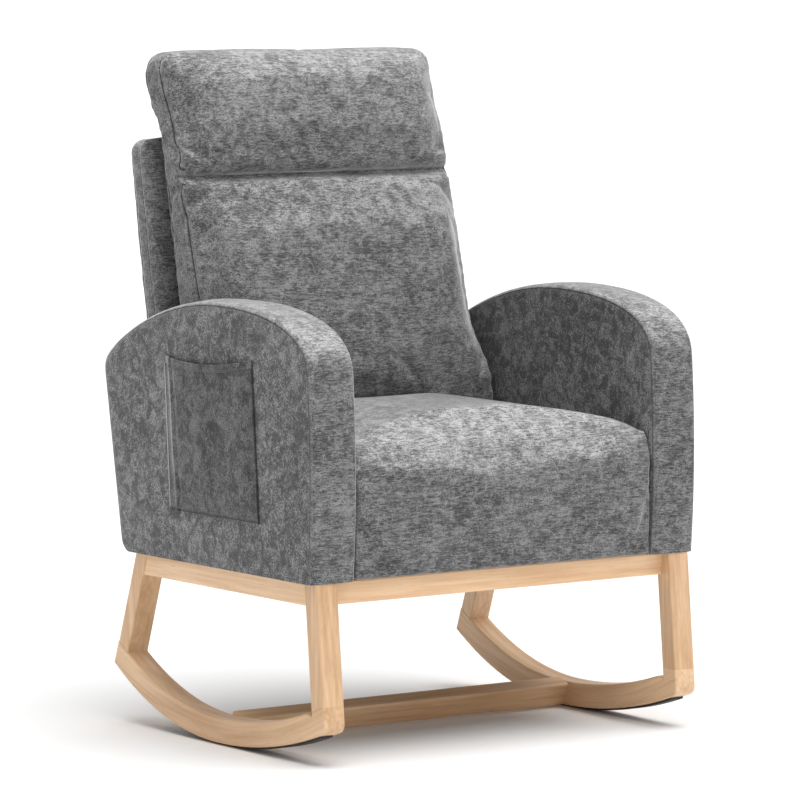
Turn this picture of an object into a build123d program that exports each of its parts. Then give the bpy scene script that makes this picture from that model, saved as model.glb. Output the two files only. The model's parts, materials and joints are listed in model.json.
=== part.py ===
from build123d import *
import math
import os

# An upholstered rocking chair: a padded body (two arms, a seat, a tall back) on a light wooden
# base whose legs stand on two bent runners.
# Millimetres. X runs across the chair, Y from front to back, Z up from the floor.
# Left and right are the sitter's own, so the sitter's right is at -X.
# Every Y in this file is measured back from the front plane of the arms; save() moves the chair
# so that the middle of its depth is at Y = 0.

# Whole chair
WIDTH = 690
ARM_WIDTH = 78
ARM_TOP = 648
BODY_BOTTOM = 262
CENTRE_DEPTH = 295
CLEAR = 0.3
RIGHT = -1
LEFT = 1
HALF_WIDTH = WIDTH / 2
ARM_INNER_X = HALF_WIDTH - ARM_WIDTH
SEAT_HALF = ARM_INNER_X - CLEAR

# Arms
ARM_BACK_BOTTOM = 500
ARM_BACK_TOP = 549
ARM_SHOULDER_HEIGHT = 538
ARM_CORNER_RADIUS = 13
ARM_FRONT_BULGE = -6
ARM_APEX_DEPTH = 240
ARM_FRONT_HEIGHT = 556
BAND_THICKNESS = 12
PANEL_THICKNESS = 12
PANEL_RECESS = 1
ARM_FRAME_WIDTH = 22
ARM_POST_DEPTH = 150

# Base
LEG_INNER_X = 298.3
LEG_THICKNESS = 36.7
WOOD_EDGE_RADIUS = 2.5
LEG_OUTER_X = LEG_INNER_X + LEG_THICKNESS
LEG_MID_X = LEG_INNER_X + LEG_THICKNESS / 2
FRONT_LEG_DEPTH = 31
FRONT_LEG_TOP = -1.4
FRONT_LEG_FOOT = -18
FRONT_JOINT_HEIGHT = 89
REAR_LEG_DEPTH = 30
REAR_LEG_TOP = 445
REAR_LEG_FOOT = 499
REAR_JOINT_HEIGHT = 110
RAIL_HEIGHT = 33
RAIL_THICKNESS = 22
FRONT_RAIL_FACE = 15
REAR_RAIL_FACE = 449
SIDE_RAIL_INSET = 2
RAIL_BOTTOM = BODY_BOTTOM - RAIL_HEIGHT
CORNER_BLOCK_SIDE = 62
CORNER_BLOCK_GAP = 3

# Runners
RUNNER_FRONT_RADIUS = 790
RUNNER_REAR_RADIUS = 515
RUNNER_DEPTH = 37
RUNNER_LOW = 255
STRIP_THICKNESS = 3
STRIP_WIDTH = 22
STRIP_FRONT = 0
STRIP_BACK = 440
TOE_RADIUS = 14
TOE_HEIGHT = 68
STRETCHER_AT = 262
STRETCHER_HEIGHT = 24.5
STRETCHER_DEPTH = 27
STRETCHER_BREADTH = 36
STRETCHER_TILT = 22

# Seat
SEAT_BACK = 456
SEAT_FRONT = 0
SEAT_SIDE_HEIGHT = 446
SEAT_CROWN = 486
COVER_THICKNESS = 2.5
DECK_HEIGHT = 346
FELT_HEIGHT = 351.4
FELT_THICKNESS = 3
SEAT_RAIL_THICKNESS = 20
SEAT_FRONT_RAIL_THICKNESS = 42
SEAT_REAR_RAIL_HEIGHT = 42
FRONT_PAD = 18
SPRING_COUNT = 5
SPRING_SPACING = 92
SPRING_WIRE = 1.8
SPRING_HALF_WAVE = 27
SPRING_SWING = 20
CLIP_INSET = 3
CLIP_LENGTH = 15
CLIP_HALF_WIDTH = 28
CLIP_THICKNESS = 1.5
FELT_MARGIN = 4
DUST_COVER_THICKNESS = 1.2

# Back frame, measured in a plane that leans with the back edge of the arms
BACK_LEAN = 9.6
BACK_HEIGHT = 614
BACK_THICKNESS = 40
BACK_CORNER_RADIUS = 20
BACK_EDGE_RADIUS = 8
BACK_SKIN = 3
BACK_PAD = 4
STILE_WIDTH = 22
STRAP_WIDTH = 48
STRAP_THICKNESS = 1.5
STRAP_COUNT = 6
STRAP_LOWEST = 60
STRAP_HIGHEST = 560
STRAP_END_GAP = 6
BACK_RAIL_HEIGHTS = (4, 205, 584)

# Back cushion
CUSHION_HALF_WIDTH = 242
CUSHION_CORNER_RADIUS = 30
REST_TOP = 878
REST_FOOT = 640
CUSHION_BOTTOM = 462
CUSHION_TOP = 1004
CHANNEL_HEIGHT = 816
CUSHION_LEAN = 14
CUSHION_MIDDLE = 421
CUSHION_VOID_DEPTH = 94
CUSHION_FILL_SIDE = 8
CUSHION_VOIDS = {"lower": (496, 800), "head": (832, 984)}

# Side pocket
POCKET_BULGE = 11.5
POCKET_WALL = 3
POCKET_CORNERS = ((375, 565), (360, 337), (123, 338), (141, 572))
POCKET_SAG = 12
HEM_HEIGHT = 13
HEM_THICKNESS = 1.2

# Fasteners
DOWEL_RADIUS = 5
DOWEL_LENGTH = 44
BODY_SCREW_RADIUS = 3.5
BODY_SCREW_LENGTH = 50
BODY_SCREW_DEPTHS = (110, 370)
BODY_SCREW_HEAD = 4
LEG_BOLT_RADIUS = 4
LEG_BOLT_TAIL = 6
NUT_RADIUS = 7
NUT_THICKNESS = 4
NUT_INSET = 1.5
STRETCHER_SCREW_RADIUS = 3
STRETCHER_SCREW_LENGTH = 82
STRETCHER_SCREW_HEAD = 5
BACK_BOLT_RADIUS = 4
BACK_BOLT_LENGTH = 52
BACK_BOLT_REACH = 28
BACK_BOLT_HEIGHTS = (310, 470)

os.makedirs("parts", exist_ok=True)


def save(name, *shapes):
    """Write one node, moved so that the middle of the chair's depth is the origin."""
    placed = [Pos(0, -CENTRE_DEPTH, 0) * shape for shape in shapes]
    whole = placed[0] if len(placed) == 1 else Compound(children=placed)
    export_step(whole, f"parts/{name}.step")


def outline(*edges):
    """A flat face in the side view, drawn with depth along x and height along y."""
    return make_face(Wire.combine(list(edges))[0])


def polygon(*points):
    return make_face(Polyline(*points, close=True))


def across(face, low_x, high_x):
    """Give a side-view face its width, from low_x to high_x."""
    return extrude(Plane.YZ.offset(low_x) * face, amount=high_x - low_x)


def mirrored_span(side, inner_x, outer_x):
    """The X range of a piece on one side of the chair."""
    if side == LEFT:
        return inner_x, outer_x
    return -outer_x, -inner_x


def box_between(low, high):
    size = [b - a for a, b in zip(low, high)]
    middle = [(a + b) / 2 for a, b in zip(low, high)]
    return Pos(*middle) * Box(*size)


def rod(start, end, radius):
    """A round bar from one point to another."""
    start = Vector(*start)
    direction = Vector(*end) - start
    base = Plane(origin=start, z_dir=direction.normalized())
    return base * Cylinder(radius, direction.length, align=(Align.CENTER, Align.CENTER, Align.MIN))


# ---------------------------------------------------------------- arms


def arm_face(inset):
    """Side view of an arm, pulled in by inset everywhere except along its bottom."""
    top = ARM_TOP - inset
    back = ARM_BACK_TOP - inset
    back_bottom = (ARM_BACK_BOTTOM - inset, BODY_BOTTOM)
    shoulder = (back, ARM_SHOULDER_HEIGHT)
    apex = (ARM_APEX_DEPTH, top)
    front_top = (inset, ARM_FRONT_HEIGHT)
    front_bottom = (inset, BODY_BOTTOM)
    face = outline(
        Line(back_bottom, shoulder),
        Bezier(shoulder, (back + 4, ARM_SHOULDER_HEIGHT + 22 - inset / 3), (408, top), apex),
        Bezier(apex, (90, top), (inset, top - 32), front_top),
        ThreePointArc(front_top, (ARM_FRONT_BULGE + inset, 440), front_bottom),
        Line(front_bottom, back_bottom),
    )
    corner = face.vertices().sort_by(Axis.Y)[:2].sort_by(Axis.X)[-1]
    return fillet(corner, ARM_CORNER_RADIUS - inset / 4)


def arm_band(side):
    """The padded strip that wraps the arm's edge, with the arm's full width."""
    whole = across(arm_face(0), *mirrored_span(side, ARM_INNER_X, HALF_WIDTH))
    return whole - across(arm_face(BAND_THICKNESS), *mirrored_span(side, ARM_INNER_X - 1, HALF_WIDTH + 1))


def arm_panel(side, inner_x, outer_x):
    return across(arm_face(BAND_THICKNESS + CLEAR), *mirrored_span(side, inner_x, outer_x))


def arm_outer_panel(side):
    outer_x = HALF_WIDTH - PANEL_RECESS
    return arm_panel(side, outer_x - PANEL_THICKNESS, outer_x)


def arm_inner_panel(side):
    inner_x = ARM_INNER_X + PANEL_RECESS
    return arm_panel(side, inner_x, inner_x + PANEL_THICKNESS)


def arm_frame(side):
    """The wooden frame inside an arm: a bent top, a back post, a foot rail and a deep front post."""
    span = mirrored_span(
        side,
        ARM_INNER_X + PANEL_RECESS + PANEL_THICKNESS + CLEAR,
        HALF_WIDTH - PANEL_RECESS - PANEL_THICKNESS - CLEAR,
    )
    whole = across(arm_face(BAND_THICKNESS + CLEAR), *span)
    hollow = across(arm_face(BAND_THICKNESS + ARM_FRAME_WIDTH), span[0] - 1, span[1] + 1)
    kept_low = BODY_BOTTOM + ARM_FRAME_WIDTH
    window = box_between((span[0] - 2, ARM_POST_DEPTH, kept_low), (span[1] + 2, ARM_BACK_TOP, ARM_TOP))
    return whole - (hollow & window)


# ---------------------------------------------------------------- pocket


def pocket_face(inset, above=0):
    """Side view of the pocket, with a sagging top edge raised by above."""
    back_top, back_low, front_low, front_top = POCKET_CORNERS
    middle = ((back_top[0] + front_top[0]) / 2, (back_top[1] + front_top[1]) / 2 - POCKET_SAG + above)
    top_left = (front_top[0] + inset, front_top[1] + above)
    top_right = (back_top[0] - inset, back_top[1] + above)
    low_right = (back_low[0] - inset, back_low[1] + inset)
    low_left = (front_low[0] + inset, front_low[1] + inset)
    return outline(
        ThreePointArc(top_left, middle, top_right),
        Line(top_right, low_right),
        Line(low_right, low_left),
        Line(low_left, top_left),
    )


def side_pocket():
    """A bag sewn to the outer face of the right arm, open at the top."""
    wall_x = -HALF_WIDTH - CLEAR
    bag = across(pocket_face(0), wall_x - POCKET_BULGE, wall_x)
    outer_edges = bag.faces().sort_by(Axis.X)[0].edges().sort_by(Axis.Z)[:-1]
    bag = fillet(outer_edges, POCKET_WALL * 2)
    inside = across(pocket_face(POCKET_WALL, above=40), wall_x - POCKET_BULGE + POCKET_WALL, wall_x + 1)
    return bag - inside


def pocket_hem():
    """The folded top edge of the pocket."""
    face_x = -HALF_WIDTH - CLEAR - POCKET_BULGE
    strip = across(pocket_face(2), face_x - HEM_THICKNESS, face_x)
    below = across(pocket_face(-4, above=-HEM_HEIGHT), face_x - HEM_THICKNESS - 1, face_x + 1)
    return strip - below


# ---------------------------------------------------------------- seat


def seat_block(inset):
    """The padded seat: a crowned top that rolls over the front and drops to the base."""
    crown = SEAT_CROWN - inset
    front = SEAT_FRONT + inset
    low = BODY_BOTTOM
    side_view = outline(
        Line((front, low), (front, 385)),
        Bezier((front, 385), (front, 450 - inset), (28, crown), (120, crown)),
        Bezier((120, crown), (230, crown), (350, crown - 3), (SEAT_BACK, crown - 12)),
        Line((SEAT_BACK, crown - 12), (SEAT_BACK, low)),
        Line((SEAT_BACK, low), (front, low)),
    )
    half = SEAT_HALF - inset
    side_height = SEAT_SIDE_HEIGHT - inset
    front_view = make_face(
        Wire.combine([
            ThreePointArc((-half, side_height), (0, SEAT_CROWN - inset), (half, side_height)),
            Polyline((half, side_height), (half, low), (-half, low), (-half, side_height)),
        ])[0]
    )
    depth = extrude(Plane.XZ.offset(-SEAT_BACK - 1) * front_view, amount=SEAT_BACK + 40)
    return across(side_view, -half, half) & depth


def seat_interior():
    """Everything below the seat's deck, where its frame and springs are."""
    return box_between(
        (-SEAT_HALF - 1, SEAT_FRONT + COVER_THICKNESS + FRONT_PAD, BODY_BOTTOM - 1),
        (SEAT_HALF + 1, SEAT_BACK + 1, FELT_HEIGHT + FELT_THICKNESS + CLEAR),
    )


def seat_cover():
    """The sewn cover over the top and front of the seat."""
    core = seat_block(COVER_THICKNESS)
    apron = box_between(
        (-SEAT_HALF - 1, SEAT_FRONT + COVER_THICKNESS, BODY_BOTTOM - 1),
        (SEAT_HALF + 1, SEAT_BACK + 1, DECK_HEIGHT),
    )
    return seat_block(0) - core - apron


def seat_foam():
    """The seat's foam slab, with its front lip carried down to the rail."""
    return seat_block(COVER_THICKNESS + CLEAR) - seat_interior()


def seat_rails():
    """Front, back and two side rails of the seat frame."""
    front = SEAT_FRONT + COVER_THICKNESS + FRONT_PAD + CLEAR
    front_end = front + SEAT_FRONT_RAIL_THICKNESS
    back = SEAT_BACK - 1
    back_start = back - SEAT_RAIL_THICKNESS
    inner = SEAT_HALF - SEAT_RAIL_THICKNESS
    low = BODY_BOTTOM + CLEAR
    top = DECK_HEIGHT
    side_top = top - SPRING_SWING
    rear_low = top - SEAT_REAR_RAIL_HEIGHT
    return {
        "seat_front_rail": box_between((-SEAT_HALF, front, low), (SEAT_HALF, front_end, top)),
        "seat_rear_rail": box_between((-SEAT_HALF, back_start, rear_low), (SEAT_HALF, back, top)),
        "right_seat_rail": box_between((-SEAT_HALF, front_end, low), (-inner, back_start, side_top)),
        "left_seat_rail": box_between((inner, front_end, low), (SEAT_HALF, back_start, side_top)),
    }


def seat_spring(at_x):
    """One zigzag wire spring, with its ends on top of the front and back rails."""
    height = DECK_HEIGHT + SPRING_WIRE
    start = SEAT_FRONT + COVER_THICKNESS + FRONT_PAD + SEAT_RAIL_THICKNESS / 2
    end = SEAT_BACK - SEAT_RAIL_THICKNESS / 2
    waves = int((end - start) / SPRING_HALF_WAVE)
    step = (end - start) / waves
    points = []
    for n in range(waves):
        swing = SPRING_SWING if n % 2 else -SPRING_SWING
        points.append((at_x + swing, start + n * step, height))
        points.append((at_x + swing, start + (n + 1) * step, height))
    path = FilletPolyline(*points, radius=step * 0.45)
    section = Plane(origin=path @ 0, z_dir=path % 0) * Circle(SPRING_WIRE)
    return sweep(section, path=path)


def spring_positions():
    middle = (SPRING_COUNT - 1) / 2
    return [(n - middle) * SPRING_SPACING for n in range(SPRING_COUNT)]


def spring_clips():
    """Steel clips that hold the ends of the springs down on the two rails."""
    low = DECK_HEIGHT + 2 * SPRING_WIRE
    front = SEAT_FRONT + COVER_THICKNESS + FRONT_PAD + CLEAR + CLIP_INSET
    back = SEAT_BACK - 1 - CLIP_INSET
    clips = []
    for at_x in spring_positions():
        for start in (front, back - CLIP_LENGTH):
            corner = (at_x - CLIP_HALF_WIDTH, start, low)
            far_corner = (at_x + CLIP_HALF_WIDTH, start + CLIP_LENGTH, low + CLIP_THICKNESS)
            clips.append(box_between(corner, far_corner))
    return clips


def deck_felt():
    """The felt between the springs and the foam."""
    front = SEAT_FRONT + COVER_THICKNESS + FRONT_PAD + FELT_MARGIN
    half = SEAT_HALF - FELT_MARGIN
    back = SEAT_BACK - FELT_MARGIN
    return box_between((-half, front, FELT_HEIGHT), (half, back, FELT_HEIGHT + FELT_THICKNESS))


def dust_cover():
    """The thin cloth stapled under the seat frame."""
    back = REAR_RAIL_FACE - 2
    front = FRONT_RAIL_FACE + RAIL_THICKNESS + 2
    half = LEG_INNER_X - 2
    low = BODY_BOTTOM - CLEAR / 2 - DUST_COVER_THICKNESS
    return box_between((-half, front, low), (half, back, low + DUST_COVER_THICKNESS))


# ---------------------------------------------------------------- back


BACK_PLANE = Plane(
    origin=(0, ARM_BACK_BOTTOM, BODY_BOTTOM),
    x_dir=(1, 0, 0),
    z_dir=(0, math.sin(math.radians(BACK_LEAN)), math.cos(math.radians(BACK_LEAN))),
)


def in_back(low, high):
    """A box in the leaning plane of the back: x across, y behind the rear face, z up the back."""
    return BACK_PLANE * box_between(low, high)


def back_outer_cover():
    """The skin over the rear, sides and top of the back, open towards the cushion."""
    block = box_between((-SEAT_HALF, -BACK_THICKNESS, 2), (SEAT_HALF, 0, BACK_HEIGHT))
    corners = block.edges().filter_by(Axis.Y).sort_by(Axis.Z)[-2:]
    block = fillet(corners, BACK_CORNER_RADIUS)
    rim = block.faces().sort_by(Axis.Y)[-1].edges().sort_by(Axis.Z)[1:]
    block = fillet(rim, BACK_EDGE_RADIUS)
    inner = box_between(
        (-SEAT_HALF + BACK_SKIN, -BACK_THICKNESS - 1, 1),
        (SEAT_HALF - BACK_SKIN, -BACK_SKIN, BACK_HEIGHT - BACK_SKIN),
    )
    inner = fillet(inner.edges().filter_by(Axis.Y).sort_by(Axis.Z)[-2:], BACK_CORNER_RADIUS - BACK_SKIN)
    return BACK_PLANE * (block - inner)


def back_inner_half():
    return SEAT_HALF - BACK_SKIN - CLEAR


def back_front_pad():
    """The thin pad that faces the cushion."""
    half = back_inner_half()
    pad = box_between(
        (-half, -BACK_THICKNESS, 2), (half, -BACK_THICKNESS + BACK_PAD, BACK_HEIGHT - BACK_SKIN - CLEAR)
    )
    pad = fillet(pad.edges().filter_by(Axis.Y).sort_by(Axis.Z)[-2:], BACK_CORNER_RADIUS - BACK_SKIN)
    return BACK_PLANE * pad


def back_frame_depth():
    """Front and rear faces of the wooden back frame, in the back's own plane."""
    return -BACK_THICKNESS + BACK_PAD + STRAP_THICKNESS + 2 * CLEAR, -BACK_SKIN - CLEAR


def back_stile(side):
    front, rear = back_frame_depth()
    half = back_inner_half()
    span = mirrored_span(side, half - STILE_WIDTH, half)
    stile = box_between((span[0], front, 4), (span[1], rear, BACK_HEIGHT - BACK_SKIN - 2))
    outer = stile.edges().filter_by(Axis.Y).filter_by(lambda e: e.center().Z > BACK_HEIGHT / 2)
    outer = outer.sort_by(Axis.X)[-1 if side == LEFT else 0]
    return BACK_PLANE * fillet(outer, BACK_CORNER_RADIUS - BACK_SKIN - 1)


def back_rail(height):
    front, rear = back_frame_depth()
    half = back_inner_half() - STILE_WIDTH
    return in_back((-half, front, height), (half, rear, height + STILE_WIDTH))


def back_straps():
    """Elastic straps, stretched flat across the front of the frame."""
    front = -BACK_THICKNESS + BACK_PAD + CLEAR
    half = back_inner_half() - STRAP_END_GAP
    step = (STRAP_HIGHEST - STRAP_LOWEST) / (STRAP_COUNT - 1)
    straps = []
    for n in range(STRAP_COUNT):
        low = STRAP_LOWEST + n * step - STRAP_WIDTH / 2
        straps.append(in_back((-half, front, low), (half, front + STRAP_THICKNESS, low + STRAP_WIDTH)))
    return straps


# ---------------------------------------------------------------- back cushion


def back_front_line(height):
    """Depth of the back's front face at a height."""
    lean = math.radians(BACK_LEAN)
    return ARM_BACK_BOTTOM + (height - BODY_BOTTOM) * math.tan(lean) - BACK_THICKNESS / math.cos(lean)


def cushion_face(inset):
    """Side view of the cushion: a tall panel with a rolled head above a sewn channel."""

    def front(depth, height):
        return (depth + inset, height)

    def back(depth, height):
        return (depth - inset, height)

    low = CUSHION_BOTTOM + inset
    top = CUSHION_TOP - inset
    channel = CHANNEL_HEIGHT
    chin = front(467, channel + 28)
    rest = back(back_front_line(REST_TOP) - CLEAR, REST_TOP)
    foot = back(back_front_line(REST_FOOT) - CLEAR, REST_FOOT)
    return outline(
        ThreePointArc(front(362, low), front(404, 633), front(458, channel - 18)),
        Bezier(front(458, channel - 18), front(462, channel - 4), front(472, channel), front(484, channel)),
        Bezier(front(484, channel), front(470, channel + 1), front(463, channel + 10), chin),
        ThreePointArc(chin, front(485, 905), front(509, 965)),
        Bezier(front(509, 965), front(516, top - 10), (530, top), (556, top)),
        Bezier((556, top), (586, top), back(607, 996), back(607, 970)),
        Bezier(back(607, 970), back(603, 925), back(575, 905), rest),
        Line(rest, foot),
        Bezier(foot, back(508, 560), back(490, 505), back(474, low)),
        Line(back(474, low), front(362, low)),
    )


def cushion_block(inset):
    """The cushion, or the space inside it at a given depth, resting on the crowned seat."""
    half = CUSHION_HALF_WIDTH - inset
    block = across(cushion_face(inset), -half, half)
    front_view = box_between((-half, 0, 0), (half, WIDTH, CUSHION_TOP))
    top_corners = front_view.edges().filter_by(Axis.Y).sort_by(Axis.Z)[-2:]
    rounded = fillet(top_corners, CUSHION_CORNER_RADIUS)
    return (block & rounded) - seat_block(-CLEAR - inset)


def back_cushion_cover():
    return cushion_block(0) - cushion_block(COVER_THICKNESS)


def cushion_fill(low, high, void_low, void_high):
    """One chamber of fibre filling, kept as its outer layer so that it weighs what fibre does."""
    chamber = cushion_block(COVER_THICKNESS + 2 * CLEAR) & box_between((-400, 0, low), (400, 900, high))
    lean = math.radians(CUSHION_LEAN)
    middle_height = (void_low + void_high) / 2
    middle_depth = CUSHION_MIDDLE + (middle_height - CUSHION_BOTTOM) * math.tan(lean)
    void_width = 2 * (CUSHION_HALF_WIDTH - CUSHION_FILL_SIDE)
    void = Box(void_width, CUSHION_VOID_DEPTH, (void_high - void_low) / math.cos(lean))
    void = fillet(void.edges().filter_by(Axis.X), CUSHION_VOID_DEPTH / 4)
    return chamber - Pos(0, middle_depth, middle_height) * Rot(-CUSHION_LEAN, 0, 0) * void


# ---------------------------------------------------------------- base


def rocker_bowl(depth):
    """The side-view region above a curve that runs parallel to the runner's underside, depth above it."""
    halves = []
    for radius, turn in ((RUNNER_FRONT_RADIUS, -1), (RUNNER_REAR_RADIUS, 1)):
        disc = Pos(RUNNER_LOW, radius + STRIP_THICKNESS) * Circle(radius - depth)
        half = Pos(RUNNER_LOW + turn * WIDTH / 2, BODY_BOTTOM / 2) * Rectangle(WIDTH, 2 * BODY_BOTTOM)
        halves.append(disc & half)
    return halves[0] + halves[1]


def rear_leg_line(height):
    """Depth of the rear leg's front face at a height; the leg leans back towards its foot."""
    slope = (REAR_LEG_FOOT - REAR_LEG_TOP) / (BODY_BOTTOM - REAR_JOINT_HEIGHT)
    return REAR_LEG_TOP + slope * (BODY_BOTTOM - height)


def front_leg_line(height):
    """Depth of the front leg's front face at a height; the leg leans forward towards its foot."""
    slope = (FRONT_LEG_FOOT - FRONT_LEG_TOP) / (BODY_BOTTOM - FRONT_JOINT_HEIGHT)
    return FRONT_LEG_TOP + slope * (BODY_BOTTOM - height)


def on_side(edge):
    """Whether an edge lies in one of the two faces that look sideways."""
    return edge.bounding_box().size.X < CLEAR


def runner(side):
    """A bent runner, with a block at its toe for the front leg and a mitred heel."""
    ring = rocker_bowl(0) - rocker_bowl(RUNNER_DEPTH)
    low = 0
    high = REAR_JOINT_HEIGHT + 30
    window = polygon(
        (front_leg_line(TOE_HEIGHT), TOE_HEIGHT),
        (front_leg_line(low), low),
        (rear_leg_line(low) + REAR_LEG_DEPTH, low),
        (rear_leg_line(high) + REAR_LEG_DEPTH, high),
        (REAR_LEG_TOP, high),
    )
    toe = polygon(
        (front_leg_line(FRONT_JOINT_HEIGHT), FRONT_JOINT_HEIGHT),
        (front_leg_line(TOE_HEIGHT), TOE_HEIGHT),
        (front_leg_line(TOE_HEIGHT) + FRONT_LEG_DEPTH, TOE_HEIGHT),
        (front_leg_line(FRONT_JOINT_HEIGHT) + FRONT_LEG_DEPTH, FRONT_JOINT_HEIGHT),
    )
    face = (ring & window) + toe
    tip = face.vertices().sort_by(Axis.X)[:2].sort_by(Axis.Y)[0]
    face = fillet(tip, TOE_RADIUS)
    blank = across(face, *mirrored_span(side, LEG_INNER_X, LEG_OUTER_X))
    joint = FRONT_JOINT_HEIGHT - 1
    return softened(blank.edges().filter_by(lambda e: on_side(e) and e.center().Z < joint))


def rear_leg_face():
    """Side view of a rear leg, cut square to the runner at its foot."""
    foot = polygon(
        (rear_leg_line(BODY_BOTTOM), BODY_BOTTOM),
        (rear_leg_line(BODY_BOTTOM) + REAR_LEG_DEPTH, BODY_BOTTOM),
        (rear_leg_line(80) + REAR_LEG_DEPTH, 80),
        (rear_leg_line(80), 80),
    )
    return foot & rocker_bowl(RUNNER_DEPTH)


def softened(edges):
    """Round over the sawn edges of a wooden piece."""
    return fillet(edges, WOOD_EDGE_RADIUS)


def long_edges(leg):
    """The four edges that run down a leg."""
    box = leg.bounding_box()
    middle = (box.min.Z + box.max.Z) / 2
    return leg.edges().filter_by(lambda e: abs(e.center().Z - middle) < (box.max.Z - box.min.Z) / 4)


def rear_leg_blank(side):
    return across(rear_leg_face(), *mirrored_span(side, LEG_INNER_X, LEG_OUTER_X))


def rear_leg(side):
    blank = rear_leg_blank(side)
    return softened(long_edges(blank))


def front_leg(side):
    blank = front_leg_blank(side)
    return softened(long_edges(blank))


def front_leg_blank(side):
    face = polygon(
        (front_leg_line(BODY_BOTTOM), BODY_BOTTOM),
        (front_leg_line(BODY_BOTTOM) + FRONT_LEG_DEPTH, BODY_BOTTOM),
        (front_leg_line(FRONT_JOINT_HEIGHT) + FRONT_LEG_DEPTH, FRONT_JOINT_HEIGHT),
        (front_leg_line(FRONT_JOINT_HEIGHT), FRONT_JOINT_HEIGHT),
    )
    return across(face, *mirrored_span(side, LEG_INNER_X, LEG_OUTER_X))


def grip_strip(side):
    """A rubber strip let along the underside of a runner, which it stands on."""
    ring = rocker_bowl(-STRIP_THICKNESS) - rocker_bowl(0)
    window = polygon((STRIP_FRONT, -5), (STRIP_BACK, -5), (STRIP_BACK, 80), (STRIP_FRONT, 80))
    face = ring & window
    middle = LEG_MID_X
    return across(face, *mirrored_span(side, middle - STRIP_WIDTH / 2, middle + STRIP_WIDTH / 2))


def stretcher():
    """The bar between the runners, with its top edge tipped forward."""
    half = LEG_INNER_X
    bar = Box(2 * half, STRETCHER_DEPTH, STRETCHER_BREADTH)
    bar = fillet(bar.edges().filter_by(Axis.X), 3)
    return Pos(0, STRETCHER_AT, STRETCHER_HEIGHT) * Rot(STRETCHER_TILT, 0, 0) * bar


def base_rails():
    """The four rails of the base, let in between the legs."""
    side_outer = LEG_OUTER_X - SIDE_RAIL_INSET
    side_inner = side_outer - RAIL_THICKNESS
    front = box_between(
        (-LEG_INNER_X, FRONT_RAIL_FACE, RAIL_BOTTOM),
        (LEG_INNER_X, FRONT_RAIL_FACE + RAIL_THICKNESS, BODY_BOTTOM),
    )
    rear = box_between(
        (-LEG_INNER_X, REAR_RAIL_FACE, RAIL_BOTTOM),
        (LEG_INNER_X, REAR_RAIL_FACE + RAIL_THICKNESS, BODY_BOTTOM),
    )
    rails = {
        "front_rail": softened(front.edges().filter_by(Axis.X)),
        "rear_rail": softened(rear.edges().filter_by(Axis.X)),
    }
    for name, side in (("right_side_rail", RIGHT), ("left_side_rail", LEFT)):
        span = mirrored_span(side, side_inner, side_outer)
        rail = box_between(
            (span[0], FRONT_LEG_DEPTH / 2, RAIL_BOTTOM),
            (span[1], REAR_LEG_TOP + REAR_LEG_DEPTH / 2, BODY_BOTTOM),
        )
        rail = softened(rail.edges().filter_by(Axis.Y))
        rails[name] = rail - front_leg_blank(side) - rear_leg_blank(side)
    return rails


def corner_blocks():
    """Four glue blocks in the corners of the base."""
    inner_x = LEG_OUTER_X - SIDE_RAIL_INSET - RAIL_THICKNESS
    front_y = FRONT_RAIL_FACE + RAIL_THICKNESS
    low = RAIL_BOTTOM + CORNER_BLOCK_GAP
    height = RAIL_HEIGHT - 2 * CORNER_BLOCK_GAP
    blocks = []
    for side in (RIGHT, LEFT):
        for corner_y, turn in ((front_y, 1), (REAR_RAIL_FACE, -1)):
            x = side * inner_x
            face = polygon(
                (x, corner_y),
                (x - side * CORNER_BLOCK_SIDE, corner_y),
                (x, corner_y + turn * CORNER_BLOCK_SIDE),
            )
            block = extrude(Plane.XY.offset(low) * face, amount=height)
            if block.bounding_box().min.Z < low - 1:
                block = Pos(0, 0, height) * block
            blocks.append(block - front_leg_blank(side) - rear_leg_blank(side))
    return blocks


def leg_bolt_lines():
    """Start and end of each bolt that pulls a leg into its corner block."""
    height = (RAIL_BOTTOM + BODY_BOTTOM) / 2
    inner_x = LEG_OUTER_X - SIDE_RAIL_INSET - RAIL_THICKNESS
    half_side = CORNER_BLOCK_SIDE / 2
    lines = []
    for side in (RIGHT, LEFT):
        front_leg_middle = front_leg_line(height) + FRONT_LEG_DEPTH / 2
        rear_leg_middle = rear_leg_line(height) + REAR_LEG_DEPTH / 2
        front_y = FRONT_RAIL_FACE + RAIL_THICKNESS
        for corner_y, turn, leg_y in ((front_y, 1, front_leg_middle), (REAR_RAIL_FACE, -1, rear_leg_middle)):
            target = Vector(side * LEG_MID_X, leg_y, height)
            start = Vector(side * (inner_x - half_side), corner_y + turn * half_side, height)
            back_off = (start - target).normalized() * LEG_BOLT_TAIL
            lines.append((start + back_off, target))
    return lines


def leg_bolts():
    """Each bolt with the washer and nut at its inner end."""
    bolts = []
    for start, target in leg_bolt_lines():
        direction = (target - start).normalized()
        shank = rod(start, target, LEG_BOLT_RADIUS)
        nut_plane = Plane(origin=start + direction * NUT_INSET, z_dir=direction)
        nut = extrude(nut_plane * RegularPolygon(NUT_RADIUS, 6), amount=NUT_THICKNESS)
        bolts.append(shank + nut)
    return bolts


def body_screw_places():
    """Where the screws go up through the side rails into the arm frames."""
    at_x = LEG_OUTER_X - SIDE_RAIL_INSET - RAIL_THICKNESS / 2
    return [(side * at_x, depth) for side in (RIGHT, LEFT) for depth in BODY_SCREW_DEPTHS]


def body_screws():
    screws = []
    for x, y in body_screw_places():
        low = RAIL_BOTTOM + 1
        shank = rod((x, y, low), (x, y, low + BODY_SCREW_LENGTH), BODY_SCREW_RADIUS)
        head = rod((x, y, low), (x, y, low + BODY_SCREW_HEAD), BODY_SCREW_RADIUS * 2)
        screws.append(shank + head)
    return screws


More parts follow.
